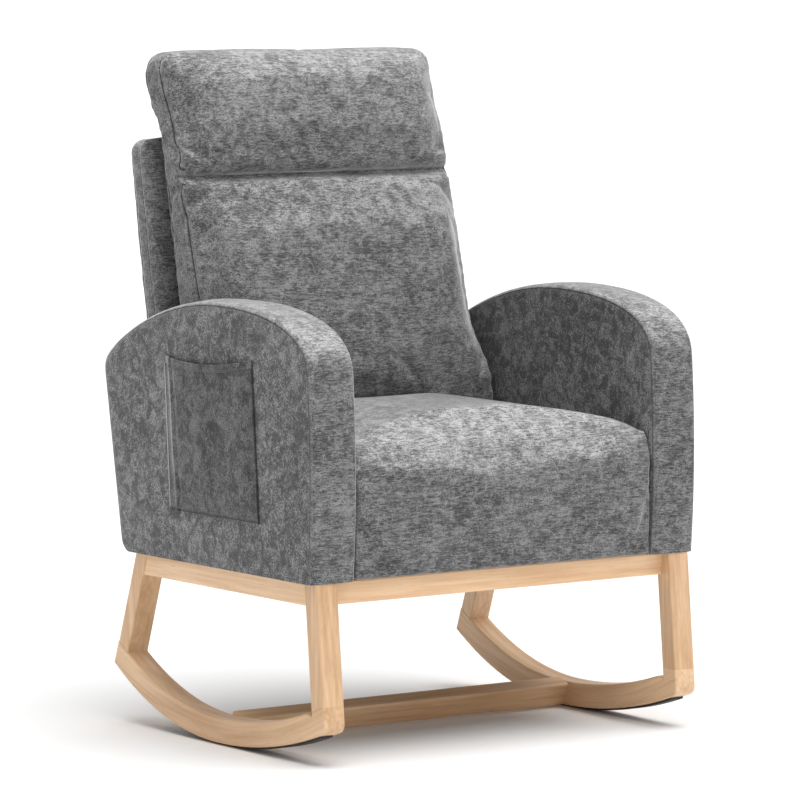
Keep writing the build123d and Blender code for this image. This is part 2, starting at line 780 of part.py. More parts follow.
def leg_dowels():
    """Dowels through the four joints between legs and runners."""
    dowels = []
    half = DOWEL_LENGTH / 2
    for side in (RIGHT, LEFT):
        x = side * LEG_MID_X
        for line, depth, height in (
            (front_leg_line, FRONT_LEG_DEPTH, FRONT_JOINT_HEIGHT),
            (rear_leg_line, REAR_LEG_DEPTH, REAR_JOINT_HEIGHT - 6),
        ):
            low = (x, line(height - half) + depth / 2, height - half)
            high = (x, line(height + half) + depth / 2, height + half)
            dowels.append(rod(low, high, DOWEL_RADIUS))
    return dowels


def stretcher_screws():
    """One long screw through each runner into the end of the stretcher."""
    screws = []
    for side in (RIGHT, LEFT):
        outer = side * (LEG_OUTER_X - 1)
        inner = side * (LEG_OUTER_X - 1 - STRETCHER_SCREW_LENGTH)
        at = (STRETCHER_AT, STRETCHER_HEIGHT)
        shank = rod((outer, *at), (inner, *at), STRETCHER_SCREW_RADIUS)
        head = rod((outer, *at), (outer - side * STRETCHER_SCREW_HEAD, *at), STRETCHER_SCREW_RADIUS * 2)
        screws.append(shank + head)
    return screws


def back_bolt_places():
    """Bolts through the back posts of the arms into the stiles of the back."""
    return [(side, height) for side in (RIGHT, LEFT) for height in BACK_BOLT_HEIGHTS]


def back_bolts():
    bolts = []
    for side, height in back_bolt_places():
        slope = math.tan(math.radians(BACK_LEAN))
        y = ARM_BACK_BOTTOM + (height - BODY_BOTTOM) * slope - BACK_THICKNESS / 2
        head_x = ARM_INNER_X + PANEL_THICKNESS + PANEL_RECESS + CLEAR + BACK_BOLT_REACH
        outer = side * head_x
        inner = side * (head_x - BACK_BOLT_LENGTH)
        shank = rod((outer, y, height), (inner, y, height), BACK_BOLT_RADIUS)
        bolts.append(shank)
    return bolts


def drilled(shape, fasteners):
    """Cut room for fasteners that pass through a piece."""
    for fastener in fasteners:
        shape = shape - fastener
    return shape


# ---------------------------------------------------------------- assembly


def build():
    nodes = {}
    bolts = leg_bolts()
    screws = body_screws()
    dowels = leg_dowels()
    long_screws = stretcher_screws()
    rear_bolts = back_bolts()
    for name, side in (("right", RIGHT), ("left", LEFT)):
        nodes[f"{name}_arm_band"] = [arm_band(side)]
        nodes[f"{name}_arm_outer_panel"] = [arm_outer_panel(side)]
        nodes[f"{name}_arm_inner_panel"] = [drilled(arm_inner_panel(side), rear_bolts)]
        nodes[f"{name}_arm_frame"] = [drilled(arm_frame(side), screws + rear_bolts)]
        nodes[f"{name}_front_leg"] = [drilled(front_leg(side), bolts + dowels)]
        nodes[f"{name}_rear_leg"] = [drilled(rear_leg(side), bolts + dowels)]
        nodes[f"{name}_runner"] = [drilled(runner(side), dowels + long_screws)]
        nodes[f"{name}_grip_strip"] = [grip_strip(side)]
        nodes[f"{name}_back_stile"] = [drilled(back_stile(side), rear_bolts)]
    for name, rail in base_rails().items():
        nodes[name] = [drilled(rail, bolts + screws)]
    for name, rail in seat_rails().items():
        nodes[name] = [rail]
    nodes["stretcher"] = [drilled(stretcher(), long_screws)]
    nodes["corner_blocks"] = [drilled(block, bolts) for block in corner_blocks()]
    nodes["leg_bolts"] = bolts
    nodes["body_screws"] = screws
    nodes["leg_dowels"] = dowels
    nodes["stretcher_screws"] = long_screws
    nodes["back_bolts"] = rear_bolts
    nodes["seat_cover"] = [seat_cover()]
    nodes["seat_foam"] = [seat_foam()]
    nodes["deck_felt"] = [deck_felt()]
    nodes["seat_springs"] = [seat_spring(x) for x in spring_positions()]
    nodes["spring_clips"] = spring_clips()
    nodes["dust_cover"] = [dust_cover()]
    nodes["back_outer_cover"] = [drilled(back_outer_cover(), rear_bolts)]
    nodes["back_front_pad"] = [back_front_pad()]
    for name, height in zip(("back_low_rail", "back_middle_rail", "back_top_rail"), BACK_RAIL_HEIGHTS):
        nodes[name] = [back_rail(height)]
    nodes["back_straps"] = back_straps()
    nodes["back_cushion_cover"] = [back_cushion_cover()]
    lower_fill = cushion_fill(CUSHION_BOTTOM, CHANNEL_HEIGHT - 2, *CUSHION_VOIDS["lower"])
    head_fill = cushion_fill(CHANNEL_HEIGHT + 2, CUSHION_TOP, *CUSHION_VOIDS["head"])
    nodes["back_cushion_lower_fill"] = [lower_fill]
    nodes["back_cushion_head_fill"] = [head_fill]
    nodes["side_pocket"] = [side_pocket()]
    nodes["pocket_hem"] = [pocket_hem()]
    return nodes


for node_name, shapes in build().items():
    save(node_name, *shapes)
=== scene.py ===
import json
import math

import bpy
import numpy as np
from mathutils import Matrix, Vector, noise
from mathutils.bvhtree import BVHTree


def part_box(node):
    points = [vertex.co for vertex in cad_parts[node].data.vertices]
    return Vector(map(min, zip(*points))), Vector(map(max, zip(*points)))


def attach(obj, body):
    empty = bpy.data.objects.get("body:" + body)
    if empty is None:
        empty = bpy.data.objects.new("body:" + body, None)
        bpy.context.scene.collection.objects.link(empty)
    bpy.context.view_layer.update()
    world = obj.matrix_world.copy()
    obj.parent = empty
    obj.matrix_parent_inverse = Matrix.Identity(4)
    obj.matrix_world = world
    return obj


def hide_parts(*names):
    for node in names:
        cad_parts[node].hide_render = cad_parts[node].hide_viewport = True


bl_info = {
    "name": "Upholstered Rocking Chair",
    "version": (1, 0, 0),
    "blender": (4, 5, 0),
    "location": "View3D > Sidebar > Chair",
    "description": "Upholsters a rocking chair on its packed frame and finishes its wood",
    "category": "Object",
}

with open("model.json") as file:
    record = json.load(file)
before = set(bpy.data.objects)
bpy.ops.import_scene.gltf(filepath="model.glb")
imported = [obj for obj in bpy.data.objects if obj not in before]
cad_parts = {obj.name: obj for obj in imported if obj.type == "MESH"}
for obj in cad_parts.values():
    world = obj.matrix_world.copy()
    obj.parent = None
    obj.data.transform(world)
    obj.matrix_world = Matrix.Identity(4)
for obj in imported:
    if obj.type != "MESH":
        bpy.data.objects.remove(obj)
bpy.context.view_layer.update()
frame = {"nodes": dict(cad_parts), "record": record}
NODES = frame["nodes"]

# Metres throughout, in the frame's own coordinates: X across, Y from front to back, Z up.
MM = 0.001
RIGHT = -1
LEFT = 1
SIDES = (("right", RIGHT), ("left", LEFT))
BODY_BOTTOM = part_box("right_arm_band")[0].z
ARM_OUTER_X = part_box("left_arm_band")[1].x
ARM_INNER_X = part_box("left_arm_band")[0].x
SEAT_LOW, SEAT_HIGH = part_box("seat_cover")
CUSHION_LOW, CUSHION_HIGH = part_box("back_cushion_cover")
BACK_LOW, BACK_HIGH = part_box("back_outer_cover")
POCKET_LOW, POCKET_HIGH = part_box("side_pocket")
CHANNEL_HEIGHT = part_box("back_cushion_head_fill")[0].z - 2 * MM
BACK_LEAN = math.radians(9.6)
BACK_DEPTH = 40 * MM
ARM_SHOULDER_Z = 640 * MM
FILL_VOXEL = 5.5 * MM
RUNNER_CENTRE_Y = -0.040
RUNNER_CENTRE_Z = 0.650


# ---------------------------------------------------------------- settings


class ChairSizes(bpy.types.PropertyGroup):
    """Sizes of the upholstery that a user would change."""

    seam_inset: bpy.props.FloatProperty(
        name="Seam inset", description="How far the side panels start from the arm's edge",
        default=4.6 * MM, unit="LENGTH", precision=4,
    )
    band_crown: bpy.props.FloatProperty(
        name="Band crown", description="How far the arm's band stands up along its middle",
        default=3.0 * MM, unit="LENGTH", precision=4,
    )
    panel_crown: bpy.props.FloatProperty(
        name="Panel crown", description="How far the arm's outer panel stands out at its middle",
        default=2.0 * MM, unit="LENGTH", precision=4,
    )
    cushion_swell: bpy.props.FloatProperty(
        name="Cushion swell", description="The most that the back cushion swells under its filling",
        default=15 * MM, unit="LENGTH", precision=4,
    )
    seat_swell: bpy.props.FloatProperty(
        name="Seat swell", description="The most that the seat swells under its filling",
        default=7 * MM, unit="LENGTH", precision=4,
    )
    channel_depth: bpy.props.FloatProperty(
        name="Channel depth", description="How deep the channel below the headrest is drawn in",
        default=14 * MM, unit="LENGTH", precision=4,
    )
    pocket_bulge: bpy.props.FloatProperty(
        name="Pocket bulge", description="How far the pocket stands off the arm at its mouth",
        default=6.5 * MM, unit="LENGTH", precision=4,
    )


class ChairColours(bpy.types.PropertyGroup):
    """Colours of the cloth and the wood, and the gain of the cloth's painted top light."""

    cloth_shade: bpy.props.FloatVectorProperty(
        name="Cloth shade", description="The cloth where its pile lies away",
        subtype="COLOR", size=3, default=(0.056, 0.056, 0.057),
    )
    cloth_light: bpy.props.FloatVectorProperty(
        name="Cloth light", description="The cloth where its pile is crushed flat",
        subtype="COLOR", size=3, default=(0.315, 0.315, 0.318),
    )
    # Painted top light: the cloth is painted lighter where it faces up, standing in for the light and sheen
    # that fall on its tops.
    painted_top_light_gain: bpy.props.FloatProperty(
        name="Painted top light gain", description="How much lighter the cloth is painted where it faces up, as painted top light",
        default=1.05,
    )
    wood_light: bpy.props.FloatVectorProperty(
        name="Wood light", description="The pale ground of the wood",
        subtype="COLOR", size=3, default=(0.89, 0.625, 0.39),
    )
    wood_dark: bpy.props.FloatVectorProperty(
        name="Wood dark", description="The darker growth rings of the wood",
        subtype="COLOR", size=3, default=(0.60, 0.355, 0.185),
    )


def sizes():
    return bpy.context.scene.chair_sizes


def colours():
    return bpy.context.scene.chair_colours


# ---------------------------------------------------------------- shader maths


class Signal:
    """One output of a shader node, usable in Python expressions."""

    def __init__(self, shade, socket):
        self.shade = shade
        self.socket = socket

    def __add__(self, other):
        return self.shade.math("ADD", self, other)

    def __radd__(self, other):
        return self.shade.math("ADD", other, self)

    def __sub__(self, other):
        return self.shade.math("SUBTRACT", self, other)

    def __rsub__(self, other):
        return self.shade.math("SUBTRACT", other, self)

    def __mul__(self, other):
        return self.shade.math("MULTIPLY", self, other)

    def __rmul__(self, other):
        return self.shade.math("MULTIPLY", other, self)

    def __truediv__(self, other):
        return self.shade.math("DIVIDE", self, other)


class Shade:
    """The node tree of one material."""

    def __init__(self, name):
        self.material = bpy.data.materials.new(name)
        self.material.use_nodes = True
        self.tree = self.material.node_tree
        self.surface = self.tree.nodes["Principled BSDF"]

    def node(self, kind, settings=None, values=None, output=0):
        made = self.tree.nodes.new(kind)
        for key, value in (settings or {}).items():
            setattr(made, key, value)
        for key, value in (values or {}).items():
            self.feed(made.inputs[key], value)
        return Signal(self, made.outputs[output])

    def feed(self, socket, value):
        if isinstance(value, Signal):
            self.tree.links.new(value.socket, socket)
        else:
            socket.default_value = value

    def math(self, operation, a, b=0.0):
        return self.node("ShaderNodeMath", {"operation": operation}, {0: a, 1: b})

    def place(self):
        return self.node("ShaderNodeTexCoord", output=3)

    def mapped(self, vector, scale, turn=(0, 0, 0)):
        return self.node("ShaderNodeMapping", values={"Vector": vector, "Scale": scale, "Rotation": turn})

    def clouds(self, vector, scale=1.0, detail=2.0, roughness=0.5, distortion=0.0):
        values = {"Vector": vector, "Scale": scale, "Detail": detail}
        values.update({"Roughness": roughness, "Distortion": distortion})
        return self.node("ShaderNodeTexNoise", values=values)

    def between(self, value, low, high, to_low=0.0, to_high=1.0):
        settings = {"interpolation_type": "SMOOTHSTEP"}
        values = {"Value": value, "From Min": low, "From Max": high, "To Min": to_low, "To Max": to_high}
        return self.node("ShaderNodeMapRange", settings, values)

    def blend(self, factor, a, b):
        """A colour between a and b."""
        made = self.tree.nodes.new("ShaderNodeMix")
        made.data_type = "RGBA"
        self.feed(made.inputs[0], factor)
        self.feed(made.inputs[6], a)
        self.feed(made.inputs[7], b)
        return Signal(self, made.outputs[2])

    def bump(self, height, strength, distance):
        values = {"Height": height, "Strength": strength, "Distance": distance}
        return self.node("ShaderNodeBump", values=values)

    def upward(self):
        """How far the surface faces up: 1 on top, 0 on its sides."""
        parts = self.tree.nodes.new("ShaderNodeSeparateXYZ")
        self.feed(parts.inputs[0], self.node("ShaderNodeNewGeometry", output=1))
        return Signal(self, parts.outputs[2])

    def attribute(self, name):
        return self.node("ShaderNodeAttribute", {"attribute_name": name}, output=2)

    def finish(self, fixed, **varying):
        """Set the sockets that are the same all over, link those that vary, and return the material."""
        for key, value in fixed.items():
            self.surface.inputs[key].default_value = value
        names = {"colour": "Base Color", "roughness": "Roughness", "normal": "Normal"}
        for key, value in varying.items():
            self.feed(self.surface.inputs[names[key]], value)
        return self.material


def opaque(colour, gain=1.0):
    return (colour[0] * gain, colour[1] * gain, colour[2] * gain, 1.0)


# ---------------------------------------------------------------- materials


def crushed_velvet(name, threads, tone=1.0, crush=1.0, streaks=1.0, blotch=1.0, seamed=False):
    """Short-pile cloth: thread streaks, flecks where the pile is crushed, and broad soft patches, with a
    painted top light where it faces up and, when seam shaded, painted shade along its seams and a painted
    highlight beside them.
    """
    s = Shade(name)
    place = s.place()
    fine = s.clouds(s.mapped(place, threads), detail=3.0, roughness=0.62)
    broad = s.clouds(s.mapped(place, tuple(v * 0.42 for v in threads)), detail=2.0, roughness=0.5)
    flecks = s.clouds(place, scale=460.0, detail=4.0, roughness=0.8, distortion=0.3)
    crushed = s.clouds(place, scale=52.0, detail=6.0, roughness=0.72, distortion=0.7)
    patches = s.clouds(place, scale=9.0, detail=3.0, roughness=0.55, distortion=0.4)
    thread_tone = s.between(fine, 0.28, 0.72) * (0.34 * streaks)
    thread_tone = thread_tone + s.between(broad, 0.30, 0.70) * (0.20 * streaks)
    fleck_tone = s.between(flecks, 0.42, 0.60) * (0.62 * crush)
    crush_tone = s.between(crushed, 0.36, 0.68) * (0.15 * blotch)
    patch_tone = s.between(patches, 0.34, 0.66) * (0.10 * blotch)
    fleck_share = 0.35 + s.between(crushed, 0.36, 0.66) * 0.75
    value = thread_tone + fleck_tone * fleck_share + crush_tone + patch_tone
    level = s.between(value, 0.08 + 0.10 * crush + 0.04 * blotch, 0.56 + 0.38 * crush + 0.10 * blotch)
    dark = opaque(colours().cloth_shade, tone)
    light = opaque(colours().cloth_light, tone)
    colour = s.blend(level, dark, light)
    # Painted top light: faces that look up are blended to a lighter copy of the cloth, for the light that
    # falls on them.
    painted_top_light_lift = 1 + colours().painted_top_light_gain
    painted_top_light = s.blend(level, opaque(dark, painted_top_light_lift), opaque(light, painted_top_light_lift))
    colour = s.blend(s.between(s.upward(), 0.12, 0.92), colour, painted_top_light)
    height = fine * 0.5 + flecks * 0.5 + crushed * 0.9
    if seamed:
        # Painted shade along each seam's groove: a near-black line blended in where the seam lies. The ridge
        # beside it gets a painted highlight.
        away = s.math("ABSOLUTE", s.attribute("seam"))
        line = s.between(away, 0.3 * MM, 1.5 * MM, 1.0, 0.0)
        seam_highlight = s.between(s.math("ABSOLUTE", away - 3.2 * MM), 0.0, 1.6 * MM, 1.0, 0.0)
        colour = s.blend(seam_highlight * 0.28, colour, light)
        colour = s.blend(line * 0.8, colour, opaque(colours().cloth_shade, 0.3))
        height = height - line * 2.5
    rough = s.between(level, 0.0, 1.0, 0.92, 0.72)
    fixed = {"Sheen Weight": 1.0, "Sheen Roughness": 0.34, "Sheen Tint": (1.0, 1.0, 1.0, 1.0)}
    fixed["Specular IOR Level"] = 0.22
    return s.finish(fixed, colour=colour, roughness=rough, normal=s.bump(height, 0.65, 0.7 * MM))


def pale_wood(name, grain, light_gain=1.0, dark_gain=1.0, bent=False):
    """Lacquered pale wood, its grain running the way of the smallest grain scale."""
    s = Shade(name)
    place = s.place()
    if bent:
        place = along_bend(s, place)
    figure = s.clouds(s.mapped(place, grain), detail=4.0, roughness=0.6, distortion=0.35)
    wide = s.mapped(place, tuple(v * 0.17 for v in grain))
    rings = s.clouds(wide, detail=2.0, roughness=0.5, distortion=0.8)
    pores = s.clouds(s.mapped(place, tuple(v * 6.0 for v in grain)), detail=2.0, roughness=0.5)
    cast = s.clouds(place, scale=5.0, detail=1.0)
    level = s.between(figure, 0.30, 0.70) * 0.45 + s.between(rings, 0.34, 0.66) * 0.4
    level = level + s.between(cast, 0.35, 0.65) * 0.15
    light = opaque(colours().wood_light, light_gain)
    dark = opaque(colours().wood_dark, dark_gain)
    colour = s.blend(level, light, dark)
    specks = s.between(pores, 0.60, 0.74)
    colour = s.blend(specks * 0.30, colour, opaque(colours().wood_dark, 0.55))
    rough = s.between(figure, 0.3, 0.7, 0.34, 0.5)
    normal = s.bump(figure * 0.5 - specks, 0.3, 0.25 * MM)
    fixed = {"Coat Roughness": 0.25, "Coat Weight": 0.25, "Specular IOR Level": 0.4}
    return s.finish(fixed, colour=colour, roughness=rough, normal=normal)


def along_bend(s, place):
    """Coordinates that follow a runner's bend: across it, out from its centre, and along it."""
    parts = s.tree.nodes.new("ShaderNodeSeparateXYZ")
    s.feed(parts.inputs[0], place)
    x, y, z = (Signal(s, socket) for socket in parts.outputs)
    back = y - RUNNER_CENTRE_Y
    down = RUNNER_CENTRE_Z - z
    radius = s.math("SQRT", back * back + down * down)
    along = s.math("ARCTAN2", back, down) * RUNNER_CENTRE_Z
    return s.node("ShaderNodeCombineXYZ", values={0: x, 1: radius, 2: along})


def sawn_wood():
    """Unfinished softwood of the hidden frames."""
    s = Shade("sawn_frame_wood")
    place = s.place()
    grain = s.clouds(s.mapped(place, (90, 90, 14)), detail=4.0, roughness=0.6, distortion=0.5)
    saw = s.clouds(s.mapped(place, (30, 400, 60)), detail=2.0)
    colour = s.blend(s.between(grain, 0.3, 0.7), (0.62, 0.44, 0.26, 1), (0.42, 0.26, 0.13, 1))
    rough = s.between(saw, 0.3, 0.7, 0.7, 0.9)
    return s.finish({}, colour=colour, roughness=rough, normal=s.bump(saw, 0.4, 0.4 * MM))


def spring_steel():
    s = Shade("zinc_steel")
    place = s.place()
    drawn = s.clouds(s.mapped(place, (900, 900, 90)), detail=3.0)
    colour = s.blend(drawn, (0.42, 0.42, 0.41, 1), (0.66, 0.66, 0.64, 1))
    rough = s.between(drawn, 0.3, 0.7, 0.28, 0.5)
    return s.finish({"Metallic": 1.0}, colour=colour, roughness=rough, normal=s.bump(drawn, 0.15, 0.1 * MM))


def grip_rubber():
    """Matt black rubber with fine ribs across its length."""
    s = Shade("grip_rubber")
    place = s.place()
    ribs = s.node("ShaderNodeTexWave", {"bands_direction": "Y"}, {"Vector": place, "Scale": 80.0})
    dust = s.clouds(place, scale=160.0, detail=4.0)
    colour = s.blend(s.between(dust, 0.4, 0.75), (0.012, 0.012, 0.012, 1), (0.05, 0.05, 0.05, 1))
    rough = s.between(dust, 0.3, 0.7, 0.65, 0.85)
    return s.finish({}, colour=colour, roughness=rough, normal=s.bump(ribs, 0.4, 0.4 * MM))


def soft_stuff(name, low, high, scale, distance):
    """Foam, felt or wadding: a matt open texture in two close tones."""
    s = Shade(name)
    place = s.place()
    cells = s.clouds(place, scale=scale, detail=5.0, roughness=0.7)
    colour = s.blend(s.between(cells, 0.35, 0.65), low, high)
    rough = s.between(cells, 0.3, 0.7, 0.85, 1.0)
    fixed = {"Specular IOR Level": 0.1}
    return s.finish(fixed, colour=colour, roughness=rough, normal=s.bump(cells, 0.6, distance))


def woven_black(name, scale, low, high):
    """A plain dark weave."""
    s = Shade(name)
    place = s.place()
    warp = s.node("ShaderNodeTexWave", {"bands_direction": "X"}, {"Vector": place, "Scale": scale})
    weft = s.node("ShaderNodeTexWave", {"bands_direction": "Y"}, {"Vector": place, "Scale": scale})
    fuzz = s.clouds(place, scale=500.0, detail=3.0)
    weave = warp * weft
    colour = s.blend(weave * 0.6 + fuzz * 0.4, low, high)
    rough = s.between(fuzz, 0.3, 0.7, 0.8, 0.95)
    fixed = {"Specular IOR Level": 0.15}
    return s.finish(fixed, colour=colour, roughness=rough, normal=s.bump(weave, 0.4, 0.2 * MM))


def sewing_thread():
    s = Shade("sewing_thread")
    place = s.place()
    twist = s.clouds(s.mapped(place, (900, 900, 900), (0.5, 0.5, 0.5)), detail=2.0)
    colour = s.blend(twist, (0.045, 0.045, 0.046, 1), (0.12, 0.12, 0.122, 1))
    rough = s.between(twist, 0.3, 0.7, 0.5, 0.75)
    normal = s.bump(twist, 0.3, 0.1 * MM)
    return s.finish({"Sheen Weight": 0.2}, colour=colour, roughness=rough, normal=normal)


MATERIALS = {}


def material(name, maker, *args, **kwargs):
    """Make a material the first time it is asked for."""
    if name not in MATERIALS:
        MATERIALS[name] = maker(*args, **kwargs)
    return MATERIALS[name]


THREADS_ACROSS = (130, 620, 900)
THREADS_UPRIGHT = (300, 620, 260)


CLOTHS = {
    "velvet_across": (THREADS_ACROSS, {"tone": 0.93, "crush": 0.55, "blotch": 0.9}),
    "velvet_across_seamed": (THREADS_ACROSS, {"tone": 0.93, "crush": 0.55, "blotch": 0.9}),
    "velvet_panel": (THREADS_UPRIGHT, {"crush": 1.35, "streaks": 0.6, "blotch": 1.7}),
    "velvet_pocket": (THREADS_UPRIGHT, {"tone": 0.57, "crush": 1.1, "streaks": 0.8, "blotch": 1.8}),
}


def cloth(name):
    """One of the cloths above. Only the plain one across has no seams, so no painted shade and painted
    highlight along seams.
    """
    threads, look = CLOTHS[name]
    return material(name, crushed_velvet, name, threads, seamed=name != "velvet_across", **look)


# ---------------------------------------------------------------- mesh helpers


def clear_selection():
    bpy.ops.object.select_all(action="DESELECT")


def only(piece):
    """Select one object and make it active."""
    clear_selection()
    piece.select_set(True)
    bpy.context.view_layer.objects.active = piece


def new_piece(name, points, faces):
    mesh = bpy.data.meshes.new(name)
    mesh.from_pydata([tuple(p) for p in points], [], faces)
    mesh.update()
    piece = bpy.data.objects.new(name, mesh)
    bpy.context.scene.collection.objects.link(piece)
    return piece


def sheet_faces(rows, across):
    """The faces of a grid of points, given row after row."""
    faces = []
    for row in range(rows - 1):
        for a in range(row * across, (row + 1) * across - 1):
            faces.append((a, a + across, a + across + 1, a + 1))
    return faces


def ring_faces(rings, count, base=0):
    """The faces between closed rings of count points, given ring after ring."""
    faces = []
    for first in range(base, base + (rings - 1) * count, count):
        for k in range(count):
            a, b = first + k, first + (k + 1) % count
            faces.append((a, b, b + count, a + count))
    return faces


def copy_of(node, name):
    """A merged copy of a CAD node's mesh as a new object."""
    piece = bpy.data.objects.new(name, NODES[node].data.copy())
    bpy.context.scene.collection.objects.link(piece)
    piece.data.materials.clear()
    only(piece)
    bpy.ops.object.mode_set(mode="EDIT")
    bpy.ops.mesh.select_all(action="SELECT")
    bpy.ops.mesh.remove_doubles(threshold=0.02 * MM)
    bpy.ops.object.mode_set(mode="OBJECT")
    return piece


def apply_modifier(piece, kind, **settings):
    made = piece.modifiers.new(kind.title(), kind)
    for key, value in settings.items():
        setattr(made, key, value)
    only(piece)
    bpy.ops.object.modifier_apply(modifier=made.name)


def points_of(piece):
    flat = np.empty(len(piece.data.vertices) * 3, np.float32)
    piece.data.vertices.foreach_get("co", flat)
    return flat.reshape(-1, 3).astype(float)


def normals_of(piece):
    flat = np.empty(len(piece.data.vertices) * 3, np.float32)
    piece.data.vertices.foreach_get("normal", flat)
    return flat.reshape(-1, 3).astype(float)


def set_points(piece, points):
    piece.data.vertices.foreach_set("co", points.astype(np.float32).ravel())
    piece.data.update()


def recalculated(piece):
    """Turn every face outward."""
    only(piece)
    bpy.ops.object.mode_set(mode="EDIT")
    bpy.ops.mesh.select_all(action="SELECT")
    bpy.ops.mesh.normals_make_consistent(inside=False)
    bpy.ops.object.mode_set(mode="OBJECT")


def shade_smooth(piece, degrees=None):
    only(piece)
    if degrees is None:
        bpy.ops.object.shade_smooth()
    else:
        bpy.ops.object.shade_smooth_by_angle(angle=math.radians(degrees))


def keep_biggest_part(piece):
    """Delete every loose part but the one with the widest box."""
    only(piece)
    bpy.ops.object.mode_set(mode="EDIT")
    bpy.ops.mesh.select_all(action="SELECT")
    bpy.ops.mesh.separate(type="LOOSE")
    bpy.ops.object.mode_set(mode="OBJECT")
    parts = list(bpy.context.selected_objects)
    parts.sort(key=lambda part: part.dimensions.length)
    biggest = parts.pop()
    name = piece.name
    for part in parts:
        bpy.data.objects.remove(part)
    biggest.name = name
    return biggest


def joined(name, pieces):
    clear_selection()
    for piece in pieces:
        piece.select_set(True)
    bpy.context.view_layer.objects.active = pieces[0]
    bpy.ops.object.join()
    pieces[0].name = name
    return pieces[0]


def smoothstep(value, low, high):
    t = np.clip((value - low) / (high - low), 0.0, 1.0)
    return t * t * (3 - 2 * t)


def ripple(points, scale, seed):
    """Smooth noise from -1 to 1 at each point, the same on every run."""
    scale = np.array(scale, float)
    return np.array([noise.noise(Vector(p * scale + seed)) for p in points])


def surface_tree(piece, wanted):
    """A search tree of the faces of a mesh whose normal and centre pass a test."""
    mesh = piece.data
    faces = [tuple(f.vertices) for f in mesh.polygons if wanted(f.normal, f.center)]
    return BVHTree.FromPolygons([v.co for v in mesh.vertices], faces)


def distances(tree, points):
    return np.array([tree.find_nearest(Vector(p))[3] for p in points])


def store_seam(piece, values):
    layer = piece.data.attributes.new("seam", "FLOAT", "POINT")
    layer.data.foreach_set("value", values.astype(np.float32))


def dressed(piece, finish, replaces=()):
    """Give a piece its finish, its body and the solids that it stands for."""
    piece.data.materials.clear()
    piece.data.materials.append(finish)
    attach(piece, "root")
    if replaces:
        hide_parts(*replaces)
    return piece


# ---------------------------------------------------------------- filled pieces


def puffed(piece, voxel, pressure, steps, smoothing, cap_of):
    """Swell a solid as a filled cloth bag. No point moves further than cap_of says."""
    apply_modifier(piece, "REMESH", mode="VOXEL", voxel_size=voxel)
    apply_modifier(piece, "SMOOTH", factor=0.5, iterations=smoothing)
    rest = points_of(piece)
    caps = cap_of(rest, normals_of(piece))
    held = piece.vertex_groups.new(name="held")
    for index in np.nonzero(caps < 0.6 * MM)[0]:
        held.add([int(index)], 1.0, "REPLACE")
    cloth = piece.modifiers.new("Cloth", "CLOTH")
    cloth.settings.quality = 4
    cloth.settings.mass = 0.3
    cloth.settings.use_pressure = True
    cloth.settings.uniform_pressure_force = pressure
    cloth.settings.shrink_min = -0.02
    cloth.settings.effector_weights.gravity = 0.0
    cloth.settings.vertex_group_mass = "held"
    cloth.collision_settings.use_collision = False
    for step in range(1, steps + 1):
        bpy.context.scene.frame_set(step)
    only(piece)
    bpy.ops.object.modifier_apply(modifier="Cloth")
    bpy.context.scene.frame_set(1)
    piece.vertex_groups.clear()
    moved = points_of(piece) - rest
    length = np.linalg.norm(moved, axis=1) + 1e-9
    moved *= (np.minimum(length, caps) / length)[:, None]
    set_points(piece, rest + moved)
    apply_modifier(piece, "SUBSURF", levels=1, render_levels=1)
    return piece


# ---------------------------------------------------------------- arms


def arm_outline(node, spacing=5 * MM):
    """The arm's side outline, from the foot of its back, over the top, to the foot of its front."""
    flat = sorted({(round(v.co.y, 5), round(v.co.z, 5)) for v in NODES[node].data.vertices})

    def half_hull(points):
        chain = []
        for p in points:
            while len(chain) > 1 and turn(chain[-2], chain[-1], p) <= 0:
                chain.pop()
            chain.append(p)
        return chain

    def turn(a, b, c):
        return (b[0] - a[0]) * (c[1] - a[1]) - (b[1] - a[1]) * (c[0] - a[0])

    hull = half_hull(flat)[:-1] + half_hull(flat[::-1])[:-1]
    feet = [i for i, p in enumerate(hull) if p[1] < BODY_BOTTOM + 0.05 * MM]
    start = max(feet, key=lambda i: hull[i][0])
    ring = np.array(hull[start:] + hull[:start])
    steps = np.linalg.norm(np.diff(ring, axis=0), axis=1)
    run = np.concatenate([[0.0], np.cumsum(steps)])
    count = int(run[-1] / spacing)
    wanted = np.linspace(0.0, run[-1], count)
    line = np.stack([np.interp(wanted, run, ring[:, k]) for k in (0, 1)], axis=1)
    for _ in range(6):
        line[1:-1] = 0.25 * line[:-2] + 0.5 * line[1:-1] + 0.25 * line[2:]
    return line


def outward(line):
    along = np.gradient(line, axis=0)
    along /= np.linalg.norm(along, axis=1)[:, None]
    return np.stack([along[:, 1], -along[:, 0]], axis=1)


def band_profile():
    """The band's cross-section as (across, inset) pairs: crowned outside, rounded to its two seams."""
    half = (ARM_OUTER_X - ARM_INNER_X) / 2
    round_over = 6.5 * MM
    recess = 3.2 * MM
    depth = 11.5 * MM
    profile = []
    for t in np.linspace(-1.0, 1.0, 33):
        across = half * math.sin(t * math.pi / 2)
        edge = max(0.0, abs(across) - (half - round_over))
        drop = round_over - math.sqrt(max(0.0, round_over ** 2 - edge ** 2))
        profile.append((across, drop - sizes().band_crown * (1 - (across / half) ** 2)))
    for side in (1, -1):
        flank = [(half - recess * 0.4, round_over + 1.0 * MM)]
        flank += [(half - recess, round_over + 2.5 * MM), (half - recess, depth)]
        if side == -1:
            flank = flank[::-1]
        profile += [(side * across, inset) for across, inset in flank]
    return profile


def band_seam(profile):
    """How far each point of the band's cross-section is from the seam beside it."""
    corner = np.array(profile)
    half = (ARM_OUTER_X - ARM_INNER_X) / 2
    seams = np.array([(-half, sizes().seam_inset), (half, sizes().seam_inset)])
    return np.min([np.linalg.norm(corner - seam, axis=1) for seam in seams], axis=0)


